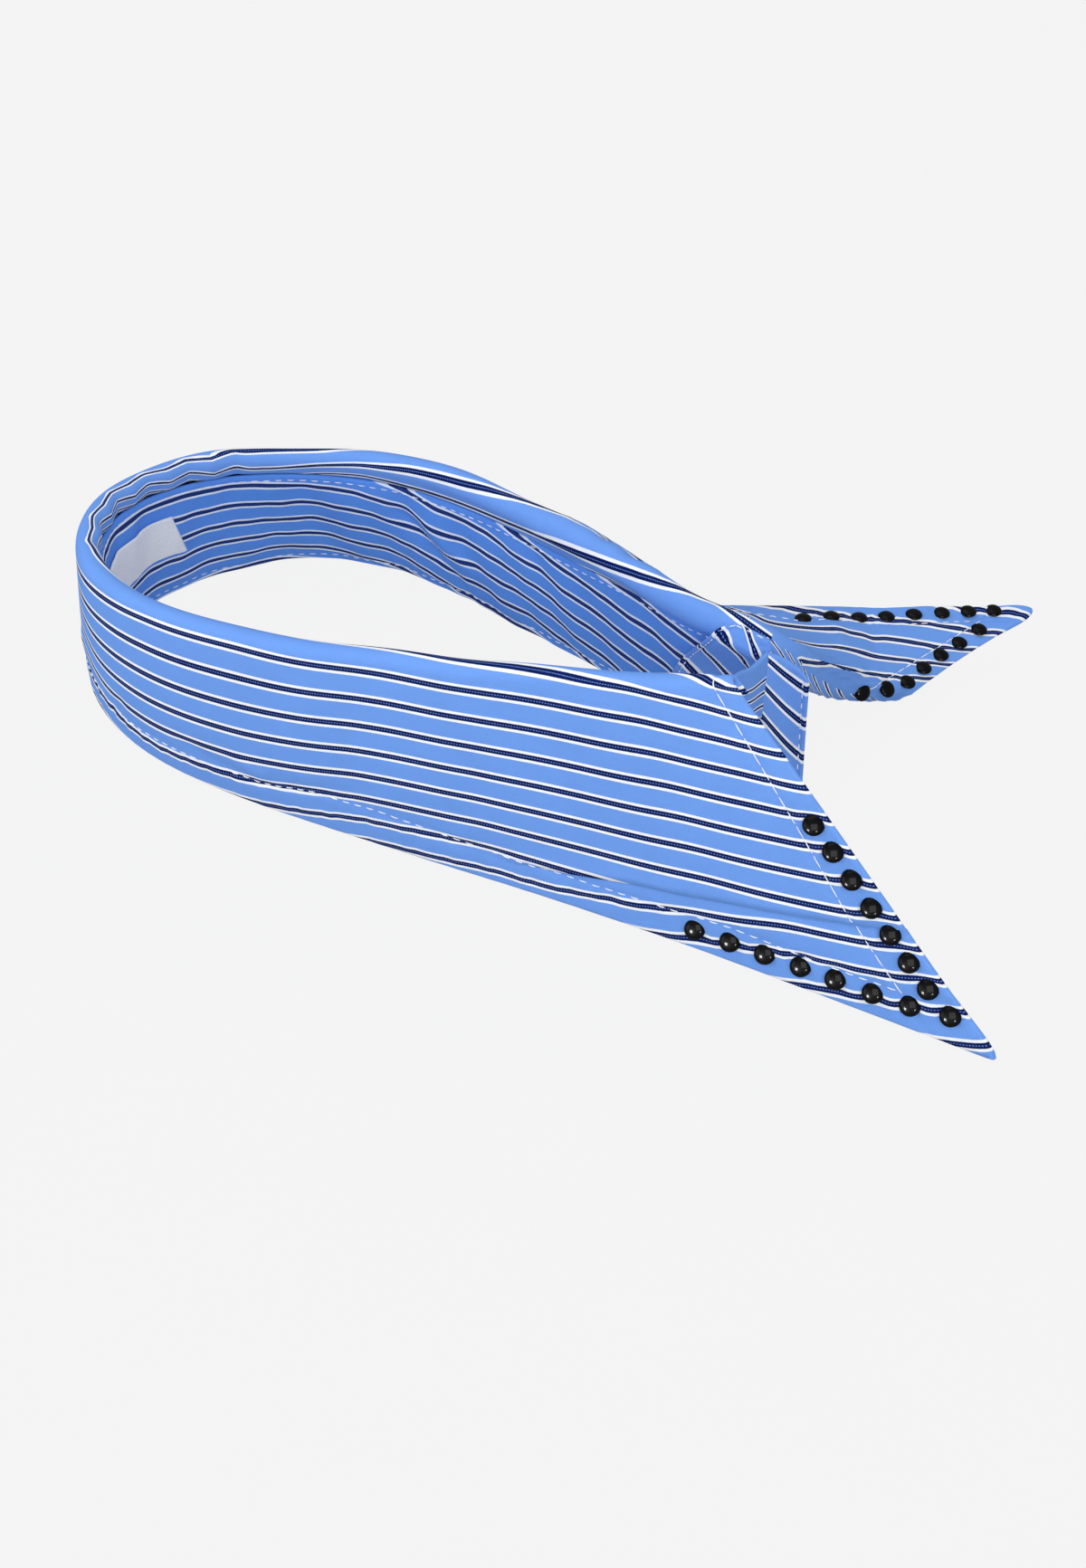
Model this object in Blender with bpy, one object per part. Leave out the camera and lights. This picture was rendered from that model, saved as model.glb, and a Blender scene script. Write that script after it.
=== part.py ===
"""Detachable shirt collar with studded points, fastened at the front.

The collar stands on the lower edge of its leaf as an open neck loop. Frame: +Z is up, the
front of the collar faces -Y, the wearer's right is -X, and the origin is the middle of the
bounding box on the floor. Tables are in millimetres; meshes are in metres.

Every cloth piece is a mid-surface, worked out from the sections below, and then a wall of
even thickness laid to both sides of it. A leaf section runs from the hem up the outside,
over the rolled crest and down the inner lip to the seam; the stand hangs from that seam.
"""

import math

import bmesh
import bpy
import numpy as np

MM = 0.001
CENTRE_X = -6.1
CENTRE_Y = -1.1

WALL = 1.4
LABEL_WALL = 1.0
SEAM_GAP = 0.6
PIECE_GAP = 0.3

LEAF_STEPS_ALONG = 96
LEAF_STEPS_UP = 7
ROLL_STEPS = 4
STAND_STEPS_ALONG = 66
STAND_STEPS_DOWN = 4

STUD_DIAMETER = 4.0
STUD_HEIGHT = 1.4
STUD_SIDES = 12
STUD_RINGS = 3
STUDS_PER_EDGE = 7
# Each point's studs, in millimetres: insets from the front edge, from the front edge at the
# corner and from the hem, with its slant; reach of the corner stud and of the first hem stud
# from the tip; spacings; and how far the upper studs curl inward.
RIGHT_STUDS = {
    "front_inset": 2.8, "corner_inset": 2.2, "hem_inset": 5.5, "hem_slant": 0.0,
    "corner": 11.5, "front": 6.35, "first": 17.8, "hem": 7.6, "curl": 0.0,
}
LEFT_STUDS = {
    "front_inset": 3.3, "corner_inset": 5.1, "hem_inset": 1.6, "hem_slant": 0.86,
    "corner": 9.8, "front": 7.2, "first": 17.9, "hem": 7.0, "curl": 0.42,
}
CURL_START = 44.0
STUD_SEARCH_STEPS = (300, 350)
STUD_SEARCH_TOP = 1.4
RIGHT_SEARCH_END = 34.0
LEFT_SEARCH_START = 80.0
RIGHT_HEM_POINT = 20.0
LEFT_HEM_POINT = 45.0

LABEL_START = 166.0
LABEL_TOP_END = 207.5
LABEL_BOTTOM_END = 212.5
LABEL_TOP = 0.20
LABEL_BOTTOM = 0.55

TAB_LIFT = 2.3
TAB_STEPS_ALONG = 12
TIE_STEPS_ACROSS = 6
BRIDGE_STEPS = 14
TIP_STEPS = 12
SHARP_ANGLE = 40.0
ON_FLOOR = 0.05
TRAVEL_STEP = 0.8
CREST_SHARE = 0.4
NECK_POINT = (5.0, 25.0, 20.0)

# The blunted points: how far the tip is drawn in and over what reach, how far the cloth
# beside it is let out and over what reach, and its share of spread.
TIP_IN = 3.8
TIP_IN_REACH = 3.8
TIP_OUT = 3.0
TIP_OUT_REACH = 9.0
TIP_SPREAD = 0.25

# The leaf, from the wearer's right point round the back of the neck to the left point.
# Crest: the top of the rolled edge. Hem: the free lower edge. Bow: how far the wall swells
# outward between them. Roll: the crest's radius. Lip: how far the cloth runs down inside.
LEAF_COLUMNS = ("crest_x", "crest_y", "crest_z", "hem_x", "hem_y", "hem_z", "bow", "roll", "lip")
LEAF_SECTIONS = {
    "right front edge": (-57.4, -54.7, 60.0, -83.9, -112.8, 0.0, 0.0, 1.0, 3.0),
    "right point": (-56.9, -46.9, 58.6, -77.5, -92.0, 0.0, 0.3, 1.8, 4.0),
    "right wing": (-56.2, -35.4, 56.6, -68.6, -63.0, 0.0, 0.6, 2.2, 4.4),
    "right wing root": (-54.9, -24.5, 54.9, -62.6, -42.0, 0.0, 0.9, 2.2, 4.4),
    "right side 1": (-53.1, -12.5, 53.1, -57.8, -23.1, 0.0, 1.2, 2.2, 4.4),
    "right side 2": (-51.3, 0.8, 50.9, -53.5, -4.6, 0.0, 1.5, 2.2, 4.4),
    "right side 3": (-48.7, 15.6, 49.2, -49.2, 14.0, 0.0, 1.8, 2.2, 4.4),
    "right side 4": (-46.4, 32.8, 47.0, -44.3, 34.9, 0.0, 2.0, 2.2, 4.4),
    "right side 5": (-42.8, 51.1, 45.7, -38.9, 55.0, 0.0, 2.0, 2.2, 4.2),
    "right back 1": (-37.2, 68.6, 44.5, -32.2, 72.6, 0.0, 1.8, 2.1, 4.0),
    "right back 2": (-29.2, 83.0, 43.9, -24.4, 86.4, 0.0, 1.3, 2.0, 3.6),
    "right back 3": (-20.0, 92.4, 43.6, -16.6, 95.6, 0.0, 0.9, 2.0, 3.2),
    "back 1": (-10.8, 97.8, 43.4, -8.6, 102.2, 0.0, 0.6, 2.0, 3.0),
    "centre back": (0.4, 101.2, 43.0, 1.2, 107.2, 0.0, 0.6, 2.0, 3.0),
    "back 2": (13.2, 101.4, 42.3, 15.6, 110.0, 0.0, 0.8, 2.0, 3.0),
    "left back 1": (26.0, 96.8, 41.3, 33.8, 108.4, 0.0, 1.5, 2.0, 3.0),
    "left back 2": (38.3, 85.7, 40.2, 54.6, 97.2, 0.0, 2.5, 2.0, 3.0),
    "left side 1": (46.2, 68.7, 39.2, 68.8, 75.0, 0.0, 3.0, 2.0, 3.2),
    "left side 2": (48.2, 49.5, 39.5, 71.4, 46.8, 0.0, 3.0, 2.2, 4.2),
    "left side 3": (41.6, 30.5, 41.0, 65.6, 20.4, 0.0, 3.0, 2.4, 5.4),
    "left side 4": (31.2, 13.1, 42.2, 57.0, -1.2, 1.5, 3.0, 2.6, 6.4),
    "left wing root 1": (18.7, -4.2, 43.0, 49.4, -16.8, 5.0, 3.0, 2.8, 7.0),
    "left wing root 2": (4.1, -22.5, 43.5, 44.2, -28.6, 10.0, 0.6, 2.8, 6.4),
    "knot 1": (-9.8, -39.4, 44.0, 41.2, -38.5, 14.6, -2.0, 2.8, 4.2),
    "knot 2": (-15.0, -47.8, 44.3, 41.6, -46.5, 15.8, -3.0, 2.8, 3.4),
    "knot 3": (-16.4, -54.0, 42.6, 43.5, -54.5, 15.8, -4.0, 2.8, 3.6),
    "left wing 1": (-13.2, -60.0, 36.4, 47.0, -66.0, 15.4, -4.5, 3.0, 6.0),
    "left wing 2": (-6.0, -63.8, 29.0, 49.6, -74.0, 15.0, -4.5, 3.2, 9.0),
    "left wing 3": (4.0, -67.2, 20.6, 53.3, -83.2, 14.2, -4.0, 3.3, 13.0),
    "left wing 4": (16.6, -72.4, 11.2, 58.6, -95.6, 13.0, -2.8, 3.3, 17.0),
    "left front edge": (29.0, -80.0, 3.9, 65.2, -109.8, 11.0, -0.6, 3.3, 20.0),
}

# The stand's lower edge under the same sections, from the right front to the knot.
STAND_COLUMNS = ("foot_x", "foot_y", "foot_z", "swell")
STAND_SECTIONS = {
    "right front edge": (-50.5, -53.0, 15.0, 0.0),
    "right point": (-50.0, -46.5, 14.0, 0.2),
    "right wing": (-49.0, -36.0, 12.0, 0.4),
    "right wing root": (-47.6, -26.0, 10.5, 0.5),
    "right side 1": (-45.7, -14.0, 9.0, 0.5),
    "right side 2": (-43.4, -0.5, 7.0, 0.6),
    "right side 3": (-40.5, 14.5, 5.5, 0.8),
    "right side 4": (-36.8, 31.7, 4.5, 1.0),
    "right side 5": (-32.2, 49.2, 4.0, 1.0),
    "right back 1": (-27.0, 65.7, 4.0, 1.0),
    "right back 2": (-20.4, 80.0, 3.5, 1.0),
    "right back 3": (-14.0, 89.8, 3.0, 1.0),
    "back 1": (-8.2, 96.2, 2.5, 1.0),
    "centre back": (1.5, 102.0, 1.8, 1.0),
    "back 2": (14.8, 105.6, 1.0, 1.0),
    "left back 1": (31.6, 105.4, 0.0, 1.0),
    "left back 2": (50.0, 94.0, 0.0, 1.0),
    "left side 1": (64.0, 73.7, 0.0, 1.0),
    "left side 2": (62.7, 48.5, 0.0, 1.0),
    "left side 3": (52.2, 26.6, 0.0, 1.0),
    "left side 4": (40.6, 7.3, 0.0, 0.8),
    "left wing root 1": (29.7, -11.2, 0.0, 0.6),
    "left wing root 2": (16.9, -29.0, 0.0, 0.4),
    "knot 1": (2.8, -45.5, 0.0, 0.2),
    "knot 2": (-5.7, -53.4, 1.0, 0.0),
    "knot 3": (-11.2, -58.8, 2.0, 0.0),
}

# The band tab, row by row down the collar's inner face. Down: 0 at the roll's top, 1.5 at
# the seam and 2.5 at the stand's foot. End, knot: where the row starts and stops along the crest.
TAB_COLUMNS = ("down", "end", "knot")
TAB_ROWS = {
    "outside the roll": (-0.12, 378.6, 384.3),
    "top of the roll": (-0.02, 375.8, 384.8),
    "inside the top": (0.12, 373.6, 385.0),
    "inner side of the roll": (0.40, 371.2, 385.0),
    "lip": (1.0, 369.6, 384.4),
    "seam": (1.56, 368.2, 383.0),
    "below the seam": (1.70, 363.0, 382.6),
    "stand 1": (1.84, 358.2, 382.2),
    "stand 2": (1.97, 354.6, 381.4),
    "stand 3": (2.20, 350.0, 380.0),
    "above the foot": (2.42, 347.0, 378.5),
}
ROLL_TOP = 1.5
SEAM = 1.5
FACE_STEP = 0.3

# The tie end: an upper and a lower edge, from the right stand to the knot's ridge, and from
# the ridge down to its cut tip.
TIE_COLUMNS = ("upper_x", "upper_y", "upper_z", "lower_x", "lower_y", "lower_z")
BRIDGE_SECTIONS = {
    "sewn end": (-52.6, -42.7, 50.0, -51.3, -42.9, 36.3),
    "leaving the stand": (-49.9, -49.3, 49.7, -49.2, -49.7, 36.9),
    "bridge 1": (-42.1, -51.6, 49.2, -44.6, -53.2, 37.6),
    "bridge 2": (-35.5, -52.5, 47.4, -40.2, -54.3, 37.2),
    "rise 1": (-30.3, -53.9, 45.4, -36.0, -55.2, 35.6),
    "rise 2": (-25.5, -55.2, 44.7, -31.4, -55.8, 33.6),
    "ridge": (-22.4, -56.1, 44.5, -28.6, -56.3, 32.2),
}
TIP_SECTIONS = {
    "ridge": (-22.4, -56.1, 44.5, -28.6, -56.3, 32.2),
    "turn": (-21.9, -58.3, 43.7, -26.0, -59.0, 24.6),
    "fall 1": (-21.6, -61.6, 42.0, -23.6, -62.0, 16.5),
    "fall 2": (-21.6, -64.0, 40.0, -22.6, -64.4, 11.0),
    "tip": (-22.0, -65.1, 38.6, -22.4, -65.6, 9.6),
}

STRIPED_POPLIN = ("striped_poplin", (0.19, 0.32, 0.70), 0.80)
SHADED_POPLIN = ("striped_poplin_inside", (0.17, 0.29, 0.66), 0.80)
WOVEN_TAPE = ("white_woven_tape", (0.72, 0.74, 0.80), 0.70)
BLACK_ENAMEL = ("black_enamel", (0.010, 0.010, 0.012), 0.22)


def unit(vectors):
    """Vectors scaled to length one, along the last axis."""
    return vectors / np.maximum(np.linalg.norm(vectors, axis=-1, keepdims=True), 1e-9)


def spline(knots, values, at):
    """Natural cubic spline through the rows of values, read at the positions in at."""
    knots = np.asarray(knots, float)
    values = np.asarray(values, float)
    at = np.asarray(at, float)
    count = len(knots)
    step = np.diff(knots)
    slope = np.diff(values, axis=0) / step[:, None]
    system = np.eye(count)
    right = np.zeros_like(values)
    for i in range(1, count - 1):
        system[i, i - 1] = step[i - 1]
        system[i, i] = 2.0 * (step[i - 1] + step[i])
        system[i, i + 1] = step[i]
        right[i] = 6.0 * (slope[i] - slope[i - 1])
    bend = np.linalg.solve(system, right)
    i = np.clip(np.searchsorted(knots, at, side="right") - 1, 0, count - 2)
    h = step[i][..., None]
    a = ((knots[i + 1] - at)[..., None]) / h
    b = 1.0 - a
    curve = (a ** 3 - a) * bend[i] + (b ** 3 - b) * bend[i + 1]
    return a * values[i] + b * values[i + 1] + curve * h * h / 6.0


LEAF_TABLE = np.array(list(LEAF_SECTIONS.values()))
STAND_TABLE = np.array(list(STAND_SECTIONS.values()))
BRIDGE_TABLE = np.array(list(BRIDGE_SECTIONS.values()))
TIP_TABLE = np.array(list(TIP_SECTIONS.values()))
CREST_STEPS = np.linalg.norm(np.diff(LEAF_TABLE[:, :3], axis=0), axis=1)
STATIONS = np.concatenate(([0.0], np.cumsum(CREST_STEPS)))
LEAF_LENGTH = STATIONS[-1]
STAND_START = 3.0
STAND_END = STATIONS[len(STAND_TABLE) - 1]


def leaf_frame(s):
    """Crest, hem, outward direction and the bow, roll and lip of the sections at s."""
    row = spline(STATIONS, LEAF_TABLE, s)
    ahead = spline(STATIONS, LEAF_TABLE, np.asarray(s) + TRAVEL_STEP)
    behind = spline(STATIONS, LEAF_TABLE, np.asarray(s) - TRAVEL_STEP)
    crest = row[..., 0:3]
    hem = row[..., 3:6]
    step = ahead - behind
    travel = CREST_SHARE * step[..., 0:3] + (1.0 - CREST_SHARE) * step[..., 3:6]
    out = unit(np.cross(unit(crest - hem), travel))
    return crest, hem, out, row[..., 6:7], row[..., 7:8], row[..., 8:9]


def leaf_points(s, t):
    """The leaf's mid-surface. t is 0 at the hem, 1 below the roll, 2 past it, 3 at the seam."""
    crest, hem, out, bow, roll, lip = leaf_frame(s)
    t = np.asarray(t, float)[..., None]
    top = crest + roll * out
    up = unit(top - hem)
    out = unit(out - up * np.sum(out * up, axis=-1, keepdims=True))
    height = np.linalg.norm(top - hem, axis=-1, keepdims=True) - roll
    rise = np.clip(t, 0.0, 1.0)
    turn = math.pi * np.clip(t - 1.0, 0.0, 1.0)
    fall = np.clip(t - 2.0, 0.0, 1.0)
    along = rise * height + roll * np.sin(turn) - lip * fall
    across = bow * 4.0 * rise * (1.0 - rise) - roll * (1.0 - np.cos(turn))
    points = hem + up * along + out * across
    return blunted(blunted(points, 0, 1), -1, -2)


def blunted(points, end, beside):
    """Points of the leaf with one tip drawn in and the cloth near it let out a little."""
    tip = LEAF_TABLE[end, 3:6]
    front = unit(LEAF_TABLE[end, 0:3] - tip)
    inward = unit(front + unit(LEAF_TABLE[beside, 3:6] - tip))
    away = points - tip
    reach = np.linalg.norm(away, axis=-1, keepdims=True)
    near = np.exp(-(reach / TIP_OUT_REACH) ** 2)
    spread = away - inward * np.sum(away * inward, axis=-1, keepdims=True)
    draw = TIP_IN * np.exp(-reach / TIP_IN_REACH) - TIP_OUT * near
    return points + inward * draw + TIP_SPREAD * near * spread


def stand_points(s, t):
    """The stand's mid-surface. t is 0 at the seam and 1 at the lower edge."""
    s = np.asarray(s, float)
    foot_row = spline(STATIONS[:len(STAND_TABLE)], STAND_TABLE, s)
    edge = leaf_points(s, np.full(s.shape, 3.0))
    above = leaf_points(s, np.full(s.shape, 2.0))
    foot = foot_row[..., 0:3]
    lip = unit(edge - above)
    fold = 1.0 - np.sum(lip * unit(foot - edge), axis=-1, keepdims=True) ** 2
    seam = edge + lip * (SEAM_GAP + 0.5 * WALL * np.sqrt(np.clip(fold, 0.0, 1.0)))
    inward = -leaf_frame(s)[2]
    t = np.asarray(t, float)[..., None]
    return seam + (foot - seam) * t + inward * foot_row[..., 3:4] * 4.0 * t * (1.0 - t)


def grid_normals(points):
    """Unit normals of a grid of points, from the differences along its two directions."""
    return unit(np.cross(np.gradient(points, axis=0), np.gradient(points, axis=1)))


def wall_mesh(name, points, wall):
    """A closed wall of even thickness, with its middle on a grid of points."""
    half = grid_normals(points) * wall / 2.0
    layers = np.stack((points + half, points - half))
    on_floor = points[..., 2] < ON_FLOOR
    layers[:, on_floor, 2] = 0.0
    layers[..., 2] = np.maximum(layers[..., 2], 0.0)
    rows, cols = points.shape[:2]
    index = np.arange(2 * rows * cols).reshape(2, rows, cols)
    front = index[0]
    back = index[1]
    faces = []
    for i in range(rows - 1):
        for j in range(cols - 1):
            faces.append((front[i, j], front[i + 1, j], front[i + 1, j + 1], front[i, j + 1]))
            faces.append((back[i, j], back[i, j + 1], back[i + 1, j + 1], back[i + 1, j]))
    for i in range(rows - 1):
        faces.append((front[i, 0], back[i, 0], back[i + 1, 0], front[i + 1, 0]))
        faces.append((front[i, -1], front[i + 1, -1], back[i + 1, -1], back[i, -1]))
    for j in range(cols - 1):
        faces.append((front[0, j], front[0, j + 1], back[0, j + 1], back[0, j]))
        faces.append((front[-1, j], back[-1, j], back[-1, j + 1], front[-1, j + 1]))
    return finished_mesh(name, layers.reshape(-1, 3), faces)


def finished_mesh(name, points, faces):
    """A mesh in metres, moved to the collar's own origin, with its faces pointing out."""
    moved = (np.asarray(points) - (CENTRE_X, CENTRE_Y, 0.0)) * MM
    mesh = bpy.data.meshes.new(name)
    mesh.from_pydata(moved.tolist(), [], [tuple(int(v) for v in face) for face in faces])
    work = bmesh.new()
    work.from_mesh(mesh)
    bmesh.ops.recalc_face_normals(work, faces=work.faces)
    if work.calc_volume(signed=True) < 0.0:
        bmesh.ops.reverse_faces(work, faces=work.faces)
    work.to_mesh(mesh)
    work.free()
    mesh.shade_smooth()
    mesh.set_sharp_from_angle(angle=math.radians(SHARP_ANGLE))
    return mesh


def material(finish):
    """The material of one finish: its name, base colour and roughness."""
    name, colour, roughness = finish
    made = bpy.data.materials.get(name)
    if made is None:
        made = bpy.data.materials.new(name)
        made.use_nodes = True
        made.diffuse_color = (*colour, 1.0)
        shader = made.node_tree.nodes["Principled BSDF"]
        shader.inputs["Base Color"].default_value = (*colour, 1.0)
        shader.inputs["Roughness"].default_value = roughness
        shader.inputs["Metallic"].default_value = 0.0
    return made


def add_piece(name, mesh, finish, parent):
    """One named object holding the mesh, in its material, under the collar's empty."""
    mesh.materials.append(material(finish))
    piece = bpy.data.objects.new(name, mesh)
    bpy.context.collection.objects.link(piece)
    piece.parent = parent
    return piece


def leaf_mesh():
    """The leaf with its roll and lip, from one front edge to the other."""
    s = np.linspace(0.0, LEAF_LENGTH, LEAF_STEPS_ALONG + 1)
    wall = np.linspace(0.0, 1.0, LEAF_STEPS_UP + 1)
    roll = np.linspace(1.0, 2.0, ROLL_STEPS + 1)[1:]
    t = np.concatenate((wall, roll, (2.5, 3.0)))
    grid_s, grid_t = np.meshgrid(s, t, indexing="ij")
    return wall_mesh("collar_leaf", leaf_points(grid_s, grid_t), WALL)


def stand_mesh():
    """The inner band that hangs from the leaf's lip."""
    s = np.linspace(STAND_START, STAND_END, STAND_STEPS_ALONG + 1)
    t = np.linspace(0.0, 1.0, STAND_STEPS_DOWN + 1)
    grid_s, grid_t = np.meshgrid(s, t, indexing="ij")
    return wall_mesh("collar_stand", stand_points(grid_s, grid_t), WALL)


def lifted(points, lift):
    """Points of the stand moved off its inner face, toward the neck."""
    normals = grid_normals(points)
    toward_neck = np.array(NECK_POINT) - points
    side = np.sign(np.sum(normals * toward_neck, axis=-1, keepdims=True))
    return points + normals * side * lift


def label_mesh():
    """A plain woven tape on the inside of the stand at the back of the neck."""
    share, down = np.meshgrid(np.linspace(0.0, 1.0, 15), np.linspace(0.0, 1.0, 4), indexing="ij")
    end = LABEL_TOP_END + (LABEL_BOTTOM_END - LABEL_TOP_END) * down
    grid_s = LABEL_START + (end - LABEL_START) * share
    grid_t = LABEL_TOP + (LABEL_BOTTOM - LABEL_TOP) * down
    lift = WALL / 2.0 + PIECE_GAP + LABEL_WALL / 2.0
    return wall_mesh("neck_label", lifted(stand_points(grid_s, grid_t), lift), LABEL_WALL)


def inner_face(s, v):
    """The collar's inner face. v is 0 at the roll's top, 1.5 at the seam, 2.5 at the foot."""
    leaf = leaf_points(s, ROLL_TOP + np.minimum(v, SEAM))
    stand = stand_points(s, np.clip(v - SEAM, 0.0, 1.0))
    return np.where((v > SEAM)[..., None], stand, leaf)


def tab_mesh():
    """The band tab: a rounded, slanted end laid over the roll and down inside the stand."""
    along = np.linspace(0.0, 1.0, TAB_STEPS_ALONG + 1)[:, None]
    table = np.array(list(TAB_ROWS.values()))
    v, end, knot = (column[None, :] for column in table.T)
    s = end + (knot - end) * along
    v = np.broadcast_to(v, s.shape)
    over = inner_face(s + FACE_STEP, v) - inner_face(s - FACE_STEP, v)
    down = inner_face(s, v + FACE_STEP / 10.0) - inner_face(s, v - FACE_STEP / 10.0)
    normal = unit(np.cross(over, down))
    crest, hem, out = leaf_frame(s)[:3]
    side = np.sign(np.sum(normal * (unit(crest - hem) - out), axis=-1, keepdims=True))
    return wall_mesh("band_tab", inner_face(s, v) + normal * side * TAB_LIFT, WALL)


def tie_mesh():
    """The tie end: it bridges to the knot, folds over a ridge and hangs to its cut tip."""
    parts = []
    for table, steps in ((BRIDGE_TABLE, BRIDGE_STEPS), (TIP_TABLE, TIP_STEPS)):
        reach = np.linalg.norm(np.diff(table[:, :3], axis=0), axis=1)
        knots = np.concatenate(([0.0], np.cumsum(reach)))
        parts.append(spline(knots, table, np.linspace(0.0, knots[-1], steps + 1)))
    rows = np.concatenate((parts[0], parts[1][1:]))
    q = np.linspace(0.0, 1.0, TIE_STEPS_ACROSS + 1)[None, :, None]
    points = rows[:, None, 0:3] * (1.0 - q) + rows[:, None, 3:6] * q
    return wall_mesh("tie_end", points, WALL)


def stud_spot(tip, edge_end, s_range, along, inset):
    """Point and outward normal on the leaf, measured from a tip along a straight edge."""
    s = np.linspace(s_range[0], s_range[1], STUD_SEARCH_STEPS[0])
    t = np.linspace(0.0, STUD_SEARCH_TOP, STUD_SEARCH_STEPS[1])
    grid_s, grid_t = np.meshgrid(s, t, indexing="ij")
    points = leaf_points(grid_s, grid_t)
    edge = unit(edge_end - tip)
    reach = np.sum((points - tip) * edge, axis=-1)
    away = np.linalg.norm(points - tip - reach[..., None] * edge, axis=-1)
    miss = (reach - along) ** 2 + (away - inset) ** 2
    i, j = np.unravel_index(np.argmin(miss), miss.shape)
    normal = -grid_normals(points)[i, j]
    out = leaf_frame(s[i])[2]
    return points[i, j], normal * np.sign(np.dot(normal, out))


def stud_mesh(name, spot, normal):
    """A low dome set 0.3 mm off the cloth, turned to the cloth's own normal."""
    side = unit(np.cross(normal, (0.0, 0.0, 1.0)))
    other = np.cross(normal, side)
    base = spot + normal * (WALL / 2.0 + PIECE_GAP)
    turn = np.arange(STUD_SIDES) * 2.0 * math.pi / STUD_SIDES
    points = [base]
    for ring in range(STUD_RINGS):
        angle = 0.5 * math.pi * ring / STUD_RINGS
        radius = STUD_DIAMETER / 2.0 * math.cos(angle)
        centre = base + normal * STUD_HEIGHT * math.sin(angle)
        points += [centre + radius * (side * math.cos(a) + other * math.sin(a)) for a in turn]
    points.append(base + normal * STUD_HEIGHT)
    faces = []
    last = len(points) - 1
    for k in range(STUD_SIDES):
        following = (k + 1) % STUD_SIDES
        faces.append((0, 1 + following, 1 + k))
        for ring in range(STUD_RINGS - 1):
            low = 1 + ring * STUD_SIDES
            high = low + STUD_SIDES
            faces.append((low + k, low + following, high + following, high + k))
        top = 1 + (STUD_RINGS - 1) * STUD_SIDES
        faces.append((top + k, top + following, last))
    return finished_mesh(name, np.array(points), faces)


def stud_spots(side):
    """The studs of one point: up its front edge, at its corner and back along its hem."""
    if side == "right":
        rows = (0.0, RIGHT_SEARCH_END)
        plan = RIGHT_STUDS
        edge_s = 0.0
        hem_s = RIGHT_HEM_POINT
    else:
        rows = (LEAF_LENGTH - LEFT_SEARCH_START, LEAF_LENGTH)
        plan = LEFT_STUDS
        edge_s = LEAF_LENGTH
        hem_s = LEAF_LENGTH - LEFT_HEM_POINT
    tip = leaf_points(edge_s, 0.0)
    front = leaf_points(edge_s, 1.0)
    hem = leaf_points(hem_s, 0.0)
    spots = []
    for k in range(STUDS_PER_EDGE, 0, -1):
        along = plan["corner"] + k * plan["front"]
        inset = plan["front_inset"] + plan["curl"] * max(along - CURL_START, 0.0)
        spots.append(stud_spot(tip, front, rows, along, inset))
    spots.append(stud_spot(tip, front, rows, plan["corner"], plan["corner_inset"]))
    for k in range(STUDS_PER_EDGE):
        along = plan["first"] + k * plan["hem"]
        spots.append(stud_spot(tip, hem, rows, along, plan["hem_inset"] + k * plan["hem_slant"]))
    return spots


def main():
    """Clear the scene and build the collar."""
    for old in list(bpy.data.objects):
        bpy.data.objects.remove(old, do_unlink=True)
    collar = bpy.data.objects.new("collar", None)
    bpy.context.collection.objects.link(collar)
    add_piece("collar_leaf", leaf_mesh(), STRIPED_POPLIN, collar)
    add_piece("collar_stand", stand_mesh(), SHADED_POPLIN, collar)
    add_piece("band_tab", tab_mesh(), STRIPED_POPLIN, collar)
    add_piece("tie_end", tie_mesh(), STRIPED_POPLIN, collar)
    add_piece("neck_label", label_mesh(), WOVEN_TAPE, collar)
    for side in ("right", "left"):
        for number, (spot, normal) in enumerate(stud_spots(side), start=1):
            name = f"stud_{side}_{number:02d}"
            add_piece(name, stud_mesh(name, spot, normal), BLACK_ENAMEL, collar)


if __name__ == "__main__":
    main()
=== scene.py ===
"""The looks of a detachable shirt collar in striped poplin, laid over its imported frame.

The cloth pieces repeat the sections of the cut: a section runs from the hem up the outside of
the leaf, over the rolled crest and down the inner lip to the seam, and the stand hangs from
that seam. Sizes are in millimetres and become metres when a mesh is made. Frame: +Z is up,
the collar's front faces -Y and the wearer's right is -X.
"""

import logging
import math
from collections.abc import Callable
from dataclasses import dataclass, field
from enum import Enum
from typing import Any

import bpy
import numpy as np
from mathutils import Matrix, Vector


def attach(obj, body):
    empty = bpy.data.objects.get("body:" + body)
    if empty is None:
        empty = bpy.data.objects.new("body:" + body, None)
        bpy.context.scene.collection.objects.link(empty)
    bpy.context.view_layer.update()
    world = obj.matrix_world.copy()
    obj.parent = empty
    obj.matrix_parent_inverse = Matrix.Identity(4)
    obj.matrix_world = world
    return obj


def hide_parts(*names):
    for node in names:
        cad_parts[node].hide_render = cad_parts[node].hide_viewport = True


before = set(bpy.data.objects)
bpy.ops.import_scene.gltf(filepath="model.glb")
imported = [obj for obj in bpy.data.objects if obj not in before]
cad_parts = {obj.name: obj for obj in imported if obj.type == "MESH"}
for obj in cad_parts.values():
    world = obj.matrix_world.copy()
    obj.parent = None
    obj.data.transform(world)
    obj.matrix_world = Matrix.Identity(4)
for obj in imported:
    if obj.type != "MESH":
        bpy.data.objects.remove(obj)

LOG = logging.getLogger("collar")
MM = 0.001
CENTRE = np.array((-6.1, -1.1, 0.0))  # middle of the collar in the tables' frame
BODY = "root"
CLOTH_MAP = "cloth"
STRIPE_PITCH = 6.6
FULL_TURN = 2.0 * math.pi
STEP_S, STEP_T = 0.3, 0.004  # half the steps over which a normal is measured
STITCH_SIDES = 6
STITCH_POINTS = 3 * STITCH_SIDES + 2

Array = np.ndarray
Sheet = tuple[Array, Array, Array]  # middle, normals and half thickness
Seam = tuple[Array, Array, float, float]  # path, normals, stitch length and gap

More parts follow.
